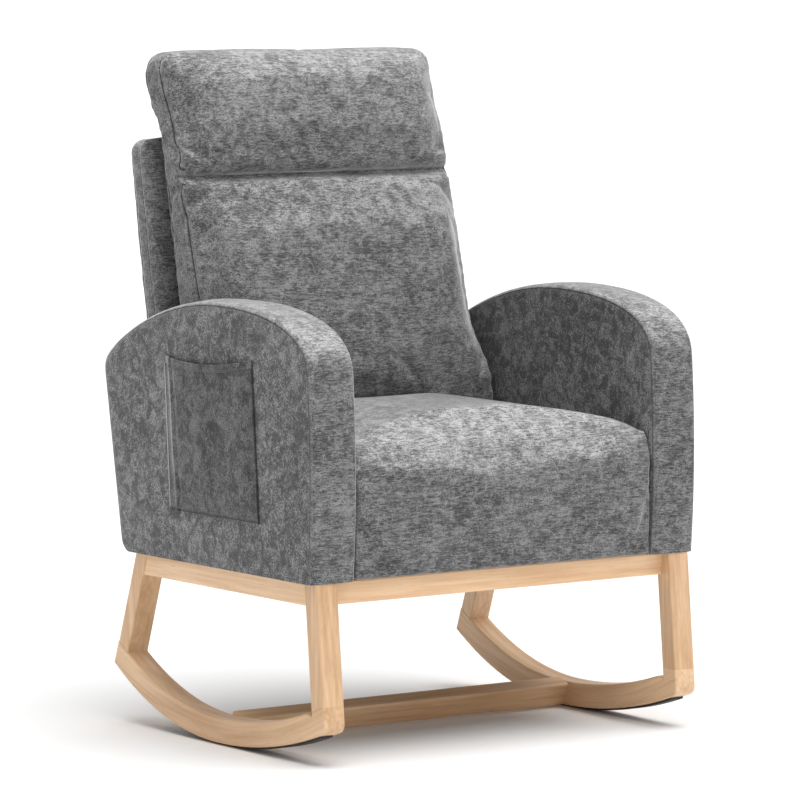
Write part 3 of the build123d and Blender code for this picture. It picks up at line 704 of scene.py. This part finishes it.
def arm_band(name, side):
    line = arm_outline(f"{name}_arm_band")
    normal = outward(line)
    middle = side * (ARM_INNER_X + ARM_OUTER_X) / 2
    profile = band_profile()
    count = len(profile)
    points = []
    for (y, z), (ny, nz) in zip(line, normal):
        for across, inset in profile:
            points.append((middle + across, y - ny * inset, max(z - nz * inset, BODY_BOTTOM)))
    faces = ring_faces(len(line), count)
    faces.append(tuple(range(count)))
    faces.append(tuple(range((len(line) - 1) * count, len(line) * count)))
    piece = new_piece(f"{name}_arm_band_cloth", points, faces)
    recalculated(piece)
    co = points_of(piece)
    lift = ripple(co, (9, 14, 14), 3.1 + side) * 0.9 * MM + ripple(co, (30, 38, 38), 8.7 + side) * 0.35 * MM
    free = smoothstep(ARM_OUTER_X - ARM_INNER_X - 2 * np.abs(co[:, 0] - middle), 0.0, 30 * MM)
    free = free * smoothstep(co[:, 2], BODY_BOTTOM, BODY_BOTTOM + 20 * MM)
    set_points(piece, co + normals_of(piece) * (lift * free)[:, None])
    store_seam(piece, np.tile(band_seam(profile), len(line)))
    shade_smooth(piece, 50)
    return dressed(piece, cloth("velvet_across_seamed"), [f"{name}_arm_band"])


def arm_panel(name, side, face_x, outwards, crown, which):
    """A padded side panel, sewn to the band all round. outwards is the way that its face looks."""
    line = arm_outline(f"{name}_arm_band")
    normal = outward(line)
    foot = np.linspace(line[-1], line[0], 60)[1:-1]
    inset = sizes().seam_inset

    def loop(away):
        moved = line - normal * away
        low = BODY_BOTTOM + min(away, 2 * MM) - inset * 0.4
        moved[:, 1] = np.maximum(moved[:, 1], max(low, BODY_BOTTOM))
        base = foot.copy()
        base[:, 1] = max(low, BODY_BOTTOM)
        base[:, 0] = np.clip(base[:, 0], moved[-1, 0], moved[0, 0])
        return np.concatenate([moved, base])

    rims = [(inset + 0.8 * MM, 9 * MM), (inset, 5 * MM), (inset + 0.2 * MM, 2.4 * MM)]
    rims += [(inset + 1.2 * MM, 1.0 * MM)]
    rims += [(inset + 3 * MM, 0.3 * MM), (inset + 6 * MM, 0.0), (inset + 11 * MM, -0.1 * crown)]
    rings = [(loop(away), np.full(len(line) + len(foot), sunk)) for away, sunk in rims]
    last = rings[-1][0]
    centre = last.mean(axis=0)
    reach = np.linalg.norm(last - centre, axis=1)
    for share in np.linspace(1.0, 0.0, 30)[1:-1]:
        gone = (1 - share) * reach
        rings.append((centre + (last - centre) * share, -crown * (0.1 + 0.9 * (1 - np.exp(-gone / 0.05)))))
    points = []
    for ring, sunk in rings:
        points += [(face_x - outwards * s, y, z) for (y, z), s in zip(ring, sunk)]
    count = len(last)
    faces = ring_faces(len(rings), count)
    points.append((face_x + outwards * crown, *centre))
    final = (len(rings) - 1) * count
    faces += [(final + k, final + (k + 1) % count, len(points) - 1) for k in range(count)]
    faces.append(tuple(range(count)))
    piece = new_piece(f"{name}_arm_{which}_panel_cloth", points, faces)
    recalculated(piece)
    co = points_of(piece)
    swell = ripple(co, (0, 11, 11), 5.3 * side) * 0.45 + ripple(co, (0, 27, 27), 1.9 * side) * 0.2
    inner = np.concatenate([np.full(count, 1.0 if r > 6 else 0.0) for r in range(len(rings))] + [[1.0]])
    co[:, 0] += outwards * swell * inner * crown * 0.8
    set_points(piece, co)
    from_seam = [max(0.0, away - inset - 0.2 * MM) for away, _ in rims] + [1.0] * (len(rings) - len(rims))
    store_seam(piece, np.append(np.repeat(from_seam, count), 1.0))
    shade_smooth(piece, 50)
    return dressed(piece, cloth("velvet_panel"), [f"{name}_arm_{which}_panel"])


# ---------------------------------------------------------------- seat


def seat_caps(points, normals):
    """How far each point of the seat may swell: not into the arms, the base or the cushion."""
    y, z = points[:, 1], points[:, 2]
    caps = np.full(len(points), sizes().seat_swell)
    caps *= 1 - smoothstep(y, CUSHION_LOW.y - 60 * MM, CUSHION_LOW.y - 8 * MM)
    caps *= smoothstep(z, BODY_BOTTOM + 2 * MM, BODY_BOTTOM + 45 * MM)
    side_on = np.abs(normals[:, 0]) > 0.8
    caps[side_on] = 0.0
    inside = (y > SEAT_LOW.y + 12 * MM) & (normals[:, 2] < 0.0)
    caps[inside] = 0.0
    return caps


def seat_pad():
    """The seat: a crowned top that rolls over the front edge, filled to the arms on both sides."""
    cover = copy_of("seat_cover", "seat_pad")
    foam = copy_of("seat_foam", "seat_pad_foam")
    piece = joined("seat_pad", [cover, foam])
    piece = puffed(piece, FILL_VOXEL, 3.0, 16, 5, seat_caps)
    piece = keep_biggest_part(piece)
    co = points_of(piece)
    top = smoothstep(normals_of(piece)[:, 2], 0.1, 0.6) + smoothstep(-normals_of(piece)[:, 1], 0.3, 0.8)
    near_arm = smoothstep(np.abs(co[:, 0]), SEAT_HIGH.x - 60 * MM, SEAT_HIGH.x)
    free = np.clip(top, 0, 1) * smoothstep(co[:, 2], BODY_BOTTOM + 10 * MM, BODY_BOTTOM + 50 * MM)
    free = free * (1 - smoothstep(co[:, 1], CUSHION_LOW.y - 40 * MM, CUSHION_LOW.y))
    folds = ripple(co, (7, 9, 9), 2.2) * 1.6 * MM + ripple(co, (22, 60, 16), 7.4) * near_arm * 1.2 * MM
    co += normals_of(piece) * (folds * free)[:, None]
    co[:, 0] = np.clip(co[:, 0], -SEAT_HIGH.x, SEAT_HIGH.x)
    set_points(piece, co)
    shade_smooth(piece)
    return dressed(piece, cloth("velvet_across"), ["seat_cover", "seat_foam"])


# ---------------------------------------------------------------- back cushion


def cushion_caps(points, normals):
    """How far each point of the cushion may swell: not into the seat or the back, little at its seams."""
    z = points[:, 2]
    caps = np.full(len(points), sizes().cushion_swell)
    fronts = normals[:, 1] < -0.2
    near_channel = smoothstep(np.abs(z - CHANNEL_HEIGHT), 8 * MM, 55 * MM)
    caps[fronts] *= near_channel[fronts]
    beside = np.abs(points[:, 0]) / CUSHION_HIGH.x
    caps *= 1 - 0.75 * smoothstep(beside, 0.80, 0.98)
    caps[np.abs(normals[:, 0]) > 0.6] = 4 * MM
    rests = (normals[:, 1] > 0.3) & (z < BACK_HIGH.z + 12 * MM)
    caps[rests] = 0.0
    caps *= smoothstep(z, SEAT_HIGH.z - 14 * MM, SEAT_HIGH.z + 40 * MM)
    caps *= 1 - 0.5 * smoothstep(z, CUSHION_HIGH.z - 30 * MM, CUSHION_HIGH.z)
    return caps


# At its sides the cushion is this share as thick, and it spreads this much wider.
SIDE_SHARE = 0.5
SIDE_SPREAD = 1.016
SIDE_SEAM = 5 * MM


def thinned(co, share):
    """Thin the cushion about its middle depth by each point's share, as a filled bag thins to its sides."""
    levels = np.linspace(CUSHION_LOW.z + 5 * MM, CUSHION_HIGH.z - 5 * MM, 60)
    beside = np.abs(co[:, 0]) > CUSHION_HIGH.x - 12 * MM
    middles = []
    for level in levels:
        depths = co[beside & (np.abs(co[:, 2] - level) < 8 * MM), 1]
        middles.append((depths.min() + depths.max()) / 2)
    middle = np.interp(co[:, 2], levels, middles)
    moved = co.copy()
    moved[:, 1] = middle + (co[:, 1] - middle) * share
    moved[:, 0] *= SIDE_SPREAD
    return moved


def back_cushion():
    """The tall cushion with a headrest above a sewn channel, boxed at its sides."""
    cover = copy_of("back_cushion_cover", "back_cushion")
    piece = keep_biggest_part(cover)
    outline_tree = surface_tree(piece, lambda n, c: abs(n.x) < 0.3 and abs(c.z - CHANNEL_HEIGHT) > 24 * MM)
    piece = puffed(piece, FILL_VOXEL, 4.0, 18, 4, cushion_caps)
    co = points_of(piece)
    normals = normals_of(piece)
    boxed = np.clip(co, [-CUSHION_HIGH.x, -9, -9], [CUSHION_HIGH.x, 9, 9])
    from_edge = distances(outline_tree, boxed)
    side_face = smoothstep(np.abs(co[:, 0]), CUSHION_HIGH.x - 16 * MM, CUSHION_HIGH.x - 5 * MM)
    above_seat = smoothstep(co[:, 2], SEAT_HIGH.z + 10 * MM, SEAT_HIGH.z + 110 * MM)
    reach = np.clip((np.abs(co[:, 0]) - CUSHION_HIGH.x) / (110 * MM) + 1, 0.0, 1.0) ** 2.5 * above_seat
    share = 1 - (1 - SIDE_SHARE) * reach
    seam = np.abs(from_edge * share - SIDE_SEAM) + (1 - side_face) * 20 * MM
    groove = np.exp(-(seam / (2.2 * MM)) ** 2) * side_face
    fronts = smoothstep(-normals[:, 1], 0.05, 0.5)
    height = co[:, 2] - CHANNEL_HEIGHT
    channel = np.exp(-(height / (5.5 * MM)) ** 2) * fronts
    chin = np.exp(-((height - 24 * MM) / (17 * MM)) ** 2) * fronts
    lip = np.exp(-((height + 22 * MM) / (15 * MM)) ** 2) * fronts
    close = np.exp(-np.abs(height) / (45 * MM)) * fronts
    edge = smoothstep(np.abs(co[:, 0]), CUSHION_HIGH.x - 130 * MM, CUSHION_HIGH.x) * (1 - side_face)
    puckers = ripple(co, (26, 0, 9), 4.4) * close * (1.0 + 1.4 * edge) * 2.4 * MM
    folds = ripple(co, (8, 8, 6), 9.1) * 2.4 * MM
    slant = np.stack([np.abs(co[:, 0]) * 0.8 - co[:, 2] * 0.6, co[:, 0], co[:, 2]], axis=1)
    pulled = np.exp(-((height - 62 * MM) / (48 * MM)) ** 2) * edge
    folds += ripple(slant, (44, 5, 5), 6.2) * pulled * 3.0 * MM
    rests = (normals[:, 1] > 0.3) & (co[:, 2] < BACK_HIGH.z + 20 * MM)
    settled = smoothstep(co[:, 2], SEAT_HIGH.z - 10 * MM, SEAT_HIGH.z + 30 * MM) * ~rests
    co += normals * ((puckers + folds * (1 - channel)) * settled - groove * 1.6 * MM)[:, None]
    co[:, 1] += channel * sizes().channel_depth - chin * 5 * MM - lip * 2 * MM
    co[:, 2] -= chin * 4 * MM
    set_points(piece, thinned(co, share))
    store_seam(piece, seam)
    shade_smooth(piece)
    stands_for = ["back_cushion_cover", "back_cushion_lower_fill", "back_cushion_head_fill"]
    return dressed(piece, cloth("velvet_across_seamed"), stands_for)


# ---------------------------------------------------------------- back shell


def in_back(points):
    """Heights up the back and depths behind its rear face, in the back's own leaning plane."""
    foot = Vector((0.0, BACK_LOW.y + BACK_DEPTH * math.cos(BACK_LEAN), BODY_BOTTOM))
    y, z = points[:, 1] - foot.y, points[:, 2] - foot.z
    up = y * math.sin(BACK_LEAN) + z * math.cos(BACK_LEAN)
    behind = y * math.cos(BACK_LEAN) - z * math.sin(BACK_LEAN)
    return up, behind


def shell_caps(points, normals):
    """How far each point of the back may swell: not into the cushion, the base or the arms."""
    up, _ = in_back(points)
    caps = np.full(len(points), 4 * MM)
    caps[normals[:, 1] < -0.3] = 0.0
    caps[np.abs(normals[:, 0]) > 0.6] = 1.5 * MM
    caps *= smoothstep(up, 2 * MM, 40 * MM)
    between_arms = (np.abs(points[:, 0]) > ARM_INNER_X - 6 * MM) & (points[:, 2] < ARM_SHOULDER_Z)
    caps[between_arms] = 0.0
    return caps


# How deep the two seams round the back's sides and top lie before its rear face.
SHELL_REAR_SEAM = 9 * MM
SHELL_FRONT_SEAM = 31 * MM


def back_shell():
    """The upholstered back behind the cushion, boxed along its sides and top."""
    cover = copy_of("back_outer_cover", "back_shell")
    pad = copy_of("back_front_pad", "back_pad")
    piece = joined("back_shell", [cover, pad])
    only(piece)
    bpy.ops.object.mode_set(mode="EDIT")
    bpy.ops.mesh.select_all(action="SELECT")
    bpy.ops.mesh.convex_hull()
    bpy.ops.object.mode_set(mode="OBJECT")
    piece = puffed(piece, FILL_VOXEL, 2.0, 12, 3, shell_caps)
    piece = keep_biggest_part(piece)
    co = points_of(piece)
    normals = normals_of(piece)
    _, behind = in_back(co)
    rear_edge = np.abs(behind + SHELL_REAR_SEAM)
    front_edge = np.abs(behind + SHELL_FRONT_SEAM)
    round_sides = smoothstep(-normals[:, 1], -0.75, -0.55)
    seam = np.minimum(rear_edge, front_edge) + (1 - round_sides) * 20 * MM
    groove = np.exp(-(seam / (2.6 * MM)) ** 2)
    rear = smoothstep(normals[:, 1], 0.7, 0.95)
    folds = ripple(co, (7, 7, 6), 11.3) * 1.4 * MM * rear
    co += normals * (folds - groove * 1.2 * MM)[:, None]
    low = co[:, 2] < ARM_SHOULDER_Z
    co[low, 0] = np.clip(co[low, 0], -SEAT_HIGH.x, SEAT_HIGH.x)
    set_points(piece, co)
    store_seam(piece, seam)
    shade_smooth(piece)
    stands_for = ["back_outer_cover", "back_front_pad"]
    return dressed(piece, cloth("velvet_across_seamed"), stands_for)


# ---------------------------------------------------------------- pocket


POCKET_FRONT_LOW = (POCKET_LOW.y, 0.338)
POCKET_FRONT_TOP = (-0.154, 0.572)
POCKET_REAR_LOW = (0.065, 0.337)
POCKET_REAR_TOP = (POCKET_HIGH.y, 0.565)
POCKET_SAG = 11 * MM
POCKET_EDGE = 4.2 * MM
POCKET_STEPS = 72
HEM_SHARE = 0.945
HEM_ROWS = 5


def pocket_point(u, v, lift=0.0):
    """A point of the pocket's front: u from front to rear, v from its foot to its mouth."""
    low = [a + (b - a) * u for a, b in zip(POCKET_FRONT_LOW, POCKET_REAR_LOW)]
    top = [a + (b - a) * u for a, b in zip(POCKET_FRONT_TOP, POCKET_REAR_TOP)]
    y = low[0] + (top[0] - low[0]) * v
    z = low[1] + (top[1] - low[1]) * v - POCKET_SAG * 4 * u * (1 - u) * v ** 3
    side = min(u, 1 - u)
    rise = min(1.0, side / 0.16)
    rise = rise * rise * (3 - 2 * rise)
    foot = min(1.0, v / 0.3)
    bulge = sizes().pocket_bulge * rise * foot * (0.45 + 0.55 * v)
    tuck = 2.2 * MM * math.exp(-((u - 0.90) / 0.018) ** 2) * min(1.0, 0.5 + v)
    tuck -= 1.0 * MM * math.exp(-((u - 0.865) / 0.014) ** 2)
    wrinkle = noise.noise(Vector((u * 5 + v * 3, v * 4 - u * 2, 3.3))) * 1.6 * MM * rise
    wrinkle += noise.noise(Vector((u * 13 + v * 9, v * 6, 7.7))) * 0.7 * MM * rise
    return (-ARM_OUTER_X - POCKET_EDGE - bulge - max(tuck, -0.8 * MM) - wrinkle * foot - lift, y, z)


def pocket_strip(name, lowest, lift, across, rows):
    """A sheet that follows the pocket from a share of its height to its mouth."""
    points = []
    for v in np.linspace(lowest, 1.0, rows):
        points += [pocket_point(u, v, lift) for u in np.linspace(0.0, 1.0, across)]
    return new_piece(name, points, sheet_faces(rows, across))


def pocket_seam(piece):
    """Store how far each point is from the seam along the pocket's two sides and foot."""
    u, v = np.meshgrid(np.linspace(0.0, 1.0, POCKET_STEPS), np.linspace(0.0, 1.0, POCKET_STEPS))
    width = POCKET_HIGH.y - POCKET_LOW.y
    height = POCKET_HIGH.z - POCKET_LOW.z
    inwards = np.minimum(np.minimum(u, 1 - u) * width, v * height).ravel()
    store_seam(piece, np.maximum(inwards - 2.5 * MM, 0.0))


def thickened(piece, thickness):
    apply_modifier(piece, "SOLIDIFY", thickness=thickness, offset=-1.0)
    edges = {"limit_method": "ANGLE", "angle_limit": math.radians(50)}
    apply_modifier(piece, "BEVEL", width=thickness * 0.3, segments=2, **edges)
    recalculated(piece)
    shade_smooth(piece, 60)


# A stitch's rings from end to end: the share of its length from its middle, and of its radius.
STITCH_RINGS = ((-0.5, 0.35), (-0.36, 1.0), (0.36, 1.0), (0.5, 0.35))


def stitches(name, places, length, radius):
    """A row of short thread capsules, each lying between two points."""
    points = []
    faces = []
    ring_count = 6
    for start, end in places:
        start, end = Vector(start), Vector(end)
        along = (end - start).normalized()
        side = along.orthogonal().normalized()
        other = along.cross(side)
        middle = (start + end) / 2
        base = len(points)
        for reach, width in STITCH_RINGS:
            for k in range(ring_count):
                turn = 2 * math.pi * k / ring_count
                across = (side * math.cos(turn) + other * math.sin(turn)) * radius * width
                points.append(middle + along * length * reach + across)
        last = base + (len(STITCH_RINGS) - 1) * ring_count
        faces += ring_faces(len(STITCH_RINGS), ring_count, base)
        faces.append(tuple(base + k for k in reversed(range(ring_count))))
        faces.append(tuple(last + k for k in range(ring_count)))
    piece = new_piece(name, points, faces)
    recalculated(piece)
    shade_smooth(piece, 60)
    return dressed(piece, material("thread", sewing_thread))


def pocket_stitches():
    """Thread along the pocket's two sides and foot, and along its hem."""
    places = []
    steps = 46
    full = np.linspace(0.02, 0.98, steps)
    runs = [[(0.022, v) for v in full], [(0.978, v) for v in full]]
    runs += [[(u, 0.022) for u in np.linspace(0.03, 0.97, steps)]]
    runs += [[(u, HEM_SHARE + 0.006) for u in full]]
    for n, run in enumerate(runs):
        lift = 0.25 * MM if n < 3 else 1.55 * MM
        placed = [pocket_point(u, v, lift) for u, v in run]
        places += list(zip(placed[:-1], placed[1:]))
    return stitches("pocket_stitches", places, 3.4 * MM, 0.42 * MM)


def side_pocket():
    """The patch pocket on the outside of the right arm."""
    pocket = pocket_strip("side_pocket_cloth", 0.0, 0.0, POCKET_STEPS, POCKET_STEPS)
    pocket_seam(pocket)
    thickened(pocket, 1.5 * MM)
    dressed(pocket, cloth("velvet_pocket"), ["side_pocket"])
    hem = pocket_strip("pocket_hem_cloth", HEM_SHARE, 1.3 * MM, POCKET_STEPS, HEM_ROWS)
    store_seam(hem, np.repeat(np.linspace(0.0, 12 * MM, HEM_ROWS), POCKET_STEPS))
    thickened(hem, 1.3 * MM)
    dressed(hem, cloth("velvet_pocket"), ["pocket_hem"])
    thread = pocket_stitches()


# ---------------------------------------------------------------- dust cover


def dust_cover():
    """Thin black cloth under the seat, stapled round its edge, with a slight sag. Its black also stands for
    the shadow in the gap between the upholstery and the wood: painted shade.
    """
    low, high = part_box("dust_cover")
    across, deep = 48, 36
    points = []
    for v in np.linspace(0.0, 1.0, deep):
        for u in np.linspace(0.0, 1.0, across):
            sag = 16 * u * (1 - u) * v * (1 - v)
            wave = noise.noise(Vector((u * 6, v * 5, 1.7))) * min(1.0, 8 * min(u, 1 - u, v, 1 - v))
            z = high.z - 0.4 * MM - sag * 2.2 * MM + wave * 0.5 * MM
            points.append((low.x + (high.x - low.x) * u, low.y + (high.y - low.y) * v, z))
    piece = new_piece("dust_cover_cloth", points, sheet_faces(deep, across))
    thickened(piece, 0.8 * MM)
    # Black cloth; it also stands for the shadow in the gap under the upholstery, painted shade.
    tones = ((0.008, 0.008, 0.009, 1), (0.035, 0.035, 0.037, 1))
    finish = material("dust", woven_black, "dust_cloth", 260.0, *tones)
    dressed(piece, finish, ["dust_cover"])
    inset = 6 * MM
    places = []
    level = low.z - 0.15 * MM
    for share in np.linspace(0.04, 0.96, 15):
        x = low.x + (high.x - low.x) * share
        places += [((x - 5 * MM, y, level), (x + 5 * MM, y, level)) for y in (low.y + inset, high.y - inset)]
    for share in np.linspace(0.1, 0.9, 9):
        y = low.y + (high.y - low.y) * share
        places += [((x, y - 5 * MM, level), (x, y + 5 * MM, level)) for x in (low.x + inset, high.x - inset)]
    staples = stitches("dust_cover_staples", places, 10 * MM, 0.5 * MM)
    staples.data.materials.clear()
    staples.data.materials.append(material("steel", spring_steel))


# ---------------------------------------------------------------- finishes of the frame


def finish_node(node, finish):
    mesh = NODES[node].data
    mesh.materials.clear()
    mesh.materials.append(finish)


ALONG_X = (7, 150, 150)
ALONG_Y = (150, 7, 150)
ALONG_Z = (150, 150, 7)


def base_wood():
    rail = material("rail_wood", pale_wood, "wood_rail", ALONG_X, light_gain=1.12, dark_gain=1.25)
    bar = material("bar_wood", pale_wood, "wood_stretcher", ALONG_X)
    side_rail = material("side_wood", pale_wood, "wood_side_rail", ALONG_Y, light_gain=1.1, dark_gain=1.2)
    leg = material("leg_wood", pale_wood, "wood_leg", ALONG_Z)
    bend = material("bend_wood", pale_wood, "wood_runner", ALONG_Z, bent=True)
    finish_node("front_rail", rail)
    finish_node("rear_rail", bar)
    finish_node("stretcher", bar)
    for name, _ in SIDES:
        finish_node(f"{name}_side_rail", side_rail)
        finish_node(f"{name}_front_leg", leg)
        finish_node(f"{name}_rear_leg", leg)
        finish_node(f"{name}_runner", bend)
        finish_node(f"{name}_grip_strip", material("rubber", grip_rubber))


def hidden_frame():
    """Finish the solids that the upholstery hides, by the slot that each was packed with."""
    wood = material("sawn", sawn_wood)
    steel = material("steel", spring_steel)
    felt_tones = ((0.10, 0.095, 0.085, 1), (0.2, 0.19, 0.17, 1))
    felt = material("felt", soft_stuff, "deck_felt", *felt_tones, 300.0, 0.4 * MM)
    strap_tones = ((0.02, 0.02, 0.022, 1), (0.09, 0.09, 0.1, 1))
    strap = material("strap", woven_black, "strap_webbing", 200.0, *strap_tones)
    by_slot = {"frame_wood": wood, "pale_wood": wood, "steel": steel, "felt": felt, "webbing": strap}
    for part in frame["record"]["subparts"]:
        finish = by_slot.get(part["material_slot"])
        if finish is not None:
            finish_node(part["node"], finish)


# ---------------------------------------------------------------- stage


CAMERA_PLACE = (-4.361, -6.207, 1.196)
CAMERA_TURN = (84.64, 0.0, -35.21)
CAMERA_LENS = 229.5
KEY_FROM = (0.10, -0.20, 1.0)
KEY_POWER = 2.9
KEY_SPREAD = math.radians(60)
STUDIO_LIGHT = 0.46


def stage():
    clear_selection()
    bpy.ops.mesh.primitive_plane_add(size=400.0, location=(0, 0, 0))
    floor = bpy.context.object
    floor.name = "studio_floor"
    s = Shade("studio_floor")
    soft = s.clouds(s.place(), scale=3.0, detail=1.0)
    colour = s.blend(soft, (0.93, 0.93, 0.93, 1), (0.95, 0.95, 0.95, 1))
    rough = s.between(soft, 0, 1, 0.9, 1)
    floor.data.materials.append(s.finish({"Specular IOR Level": 0.0}, colour=colour, roughness=rough))
    world = bpy.data.worlds.new("studio")
    world.use_nodes = True
    background = world.node_tree.nodes["Background"]
    background.inputs["Color"].default_value = (1.0, 1.0, 1.0, 1.0)
    background.inputs["Strength"].default_value = STUDIO_LIGHT
    bpy.context.scene.world = world
    bpy.ops.object.light_add(type="SUN", location=(0, 0, 4))
    key = bpy.context.object
    key.name = "key_light"
    key.data.energy = KEY_POWER
    key.data.angle = KEY_SPREAD
    key.rotation_euler = (-Vector(KEY_FROM)).to_track_quat("-Z", "Y").to_euler()
    bpy.ops.object.camera_add(location=CAMERA_PLACE, rotation=[math.radians(v) for v in CAMERA_TURN])
    camera = bpy.context.object
    camera.name = "studio_camera"
    camera.data.lens = CAMERA_LENS
    camera.data.sensor_width = 36.0
    camera.data.clip_end = 500.0
    bpy.context.scene.camera = camera
    bpy.context.scene.view_settings.view_transform = "Standard"


# ---------------------------------------------------------------- operators


class CHAIR_OT_arms(bpy.types.Operator):
    """Upholster both arms: a band over the edge and a panel on each side"""

    bl_idname = "chair.arms"
    bl_label = "Arms"

    def execute(self, context):
        for name, side in SIDES:
            arm_band(name, side)
            arm_panel(name, side, side * ARM_OUTER_X, side, sizes().panel_crown, "outer")
            arm_panel(name, side, side * ARM_INNER_X, -side, 0.2 * MM, "inner")
        return {"FINISHED"}


class CHAIR_OT_seat(bpy.types.Operator):
    """Fill and cover the seat"""

    bl_idname = "chair.seat"
    bl_label = "Seat"

    def execute(self, context):
        seat_pad()
        return {"FINISHED"}


class CHAIR_OT_back_cushion(bpy.types.Operator):
    """Fill the back cushion and sew its channel and side seams"""

    bl_idname = "chair.back_cushion"
    bl_label = "Back cushion"

    def execute(self, context):
        back_cushion()
        return {"FINISHED"}


class CHAIR_OT_back_shell(bpy.types.Operator):
    """Cover the back behind the cushion"""

    bl_idname = "chair.back_shell"
    bl_label = "Back shell"

    def execute(self, context):
        back_shell()
        return {"FINISHED"}


class CHAIR_OT_pocket(bpy.types.Operator):
    """Sew the pocket to the right arm"""

    bl_idname = "chair.pocket"
    bl_label = "Side pocket"

    def execute(self, context):
        side_pocket()
        return {"FINISHED"}


class CHAIR_OT_dust_cover(bpy.types.Operator):
    """Staple the dust cover under the seat"""

    bl_idname = "chair.dust_cover"
    bl_label = "Dust cover"

    def execute(self, context):
        dust_cover()
        return {"FINISHED"}


class CHAIR_OT_frame_finishes(bpy.types.Operator):
    """Finish the wooden base and the hidden frame"""

    bl_idname = "chair.frame_finishes"
    bl_label = "Wood and hidden frame"

    def execute(self, context):
        hidden_frame()
        base_wood()
        return {"FINISHED"}


class CHAIR_OT_stage(bpy.types.Operator):
    """Set the floor, the lights and the camera"""

    bl_idname = "chair.stage"
    bl_label = "Stage"

    def execute(self, context):
        stage()
        return {"FINISHED"}


OPERATORS = (
    CHAIR_OT_stage,
    CHAIR_OT_arms,
    CHAIR_OT_seat,
    CHAIR_OT_back_cushion,
    CHAIR_OT_back_shell,
    CHAIR_OT_pocket,
    CHAIR_OT_dust_cover,
    CHAIR_OT_frame_finishes,
)


class CHAIR_PT_workshop(bpy.types.Panel):
    """Sizes, colours and steps of the chair"""

    bl_idname = "CHAIR_PT_workshop"
    bl_label = "Rocking chair"
    bl_space_type = "VIEW_3D"
    bl_region_type = "UI"
    bl_category = "Chair"

    def draw(self, context):
        for group in (context.scene.chair_sizes, context.scene.chair_colours):
            for name in group.__annotations__:
                self.layout.prop(group, name)
        for operator in OPERATORS:
            self.layout.operator(operator.bl_idname)


CLASSES = (ChairSizes, ChairColours, *OPERATORS, CHAIR_PT_workshop)


def register():
    for cls in CLASSES:
        bpy.utils.register_class(cls)
    bpy.types.Scene.chair_sizes = bpy.props.PointerProperty(type=ChairSizes)
    bpy.types.Scene.chair_colours = bpy.props.PointerProperty(type=ChairColours)


def unregister():
    del bpy.types.Scene.chair_colours
    del bpy.types.Scene.chair_sizes
    for cls in reversed(CLASSES):
        bpy.utils.unregister_class(cls)


def main():
    register()
    bpy.ops.chair.stage()
    bpy.ops.chair.arms()
    bpy.ops.chair.seat()
    bpy.ops.chair.back_cushion()
    bpy.ops.chair.back_shell()
    bpy.ops.chair.pocket()
    bpy.ops.chair.dust_cover()
    bpy.ops.chair.frame_finishes()
    bpy.context.view_layer.update()


if __name__ == "__main__":
    main()
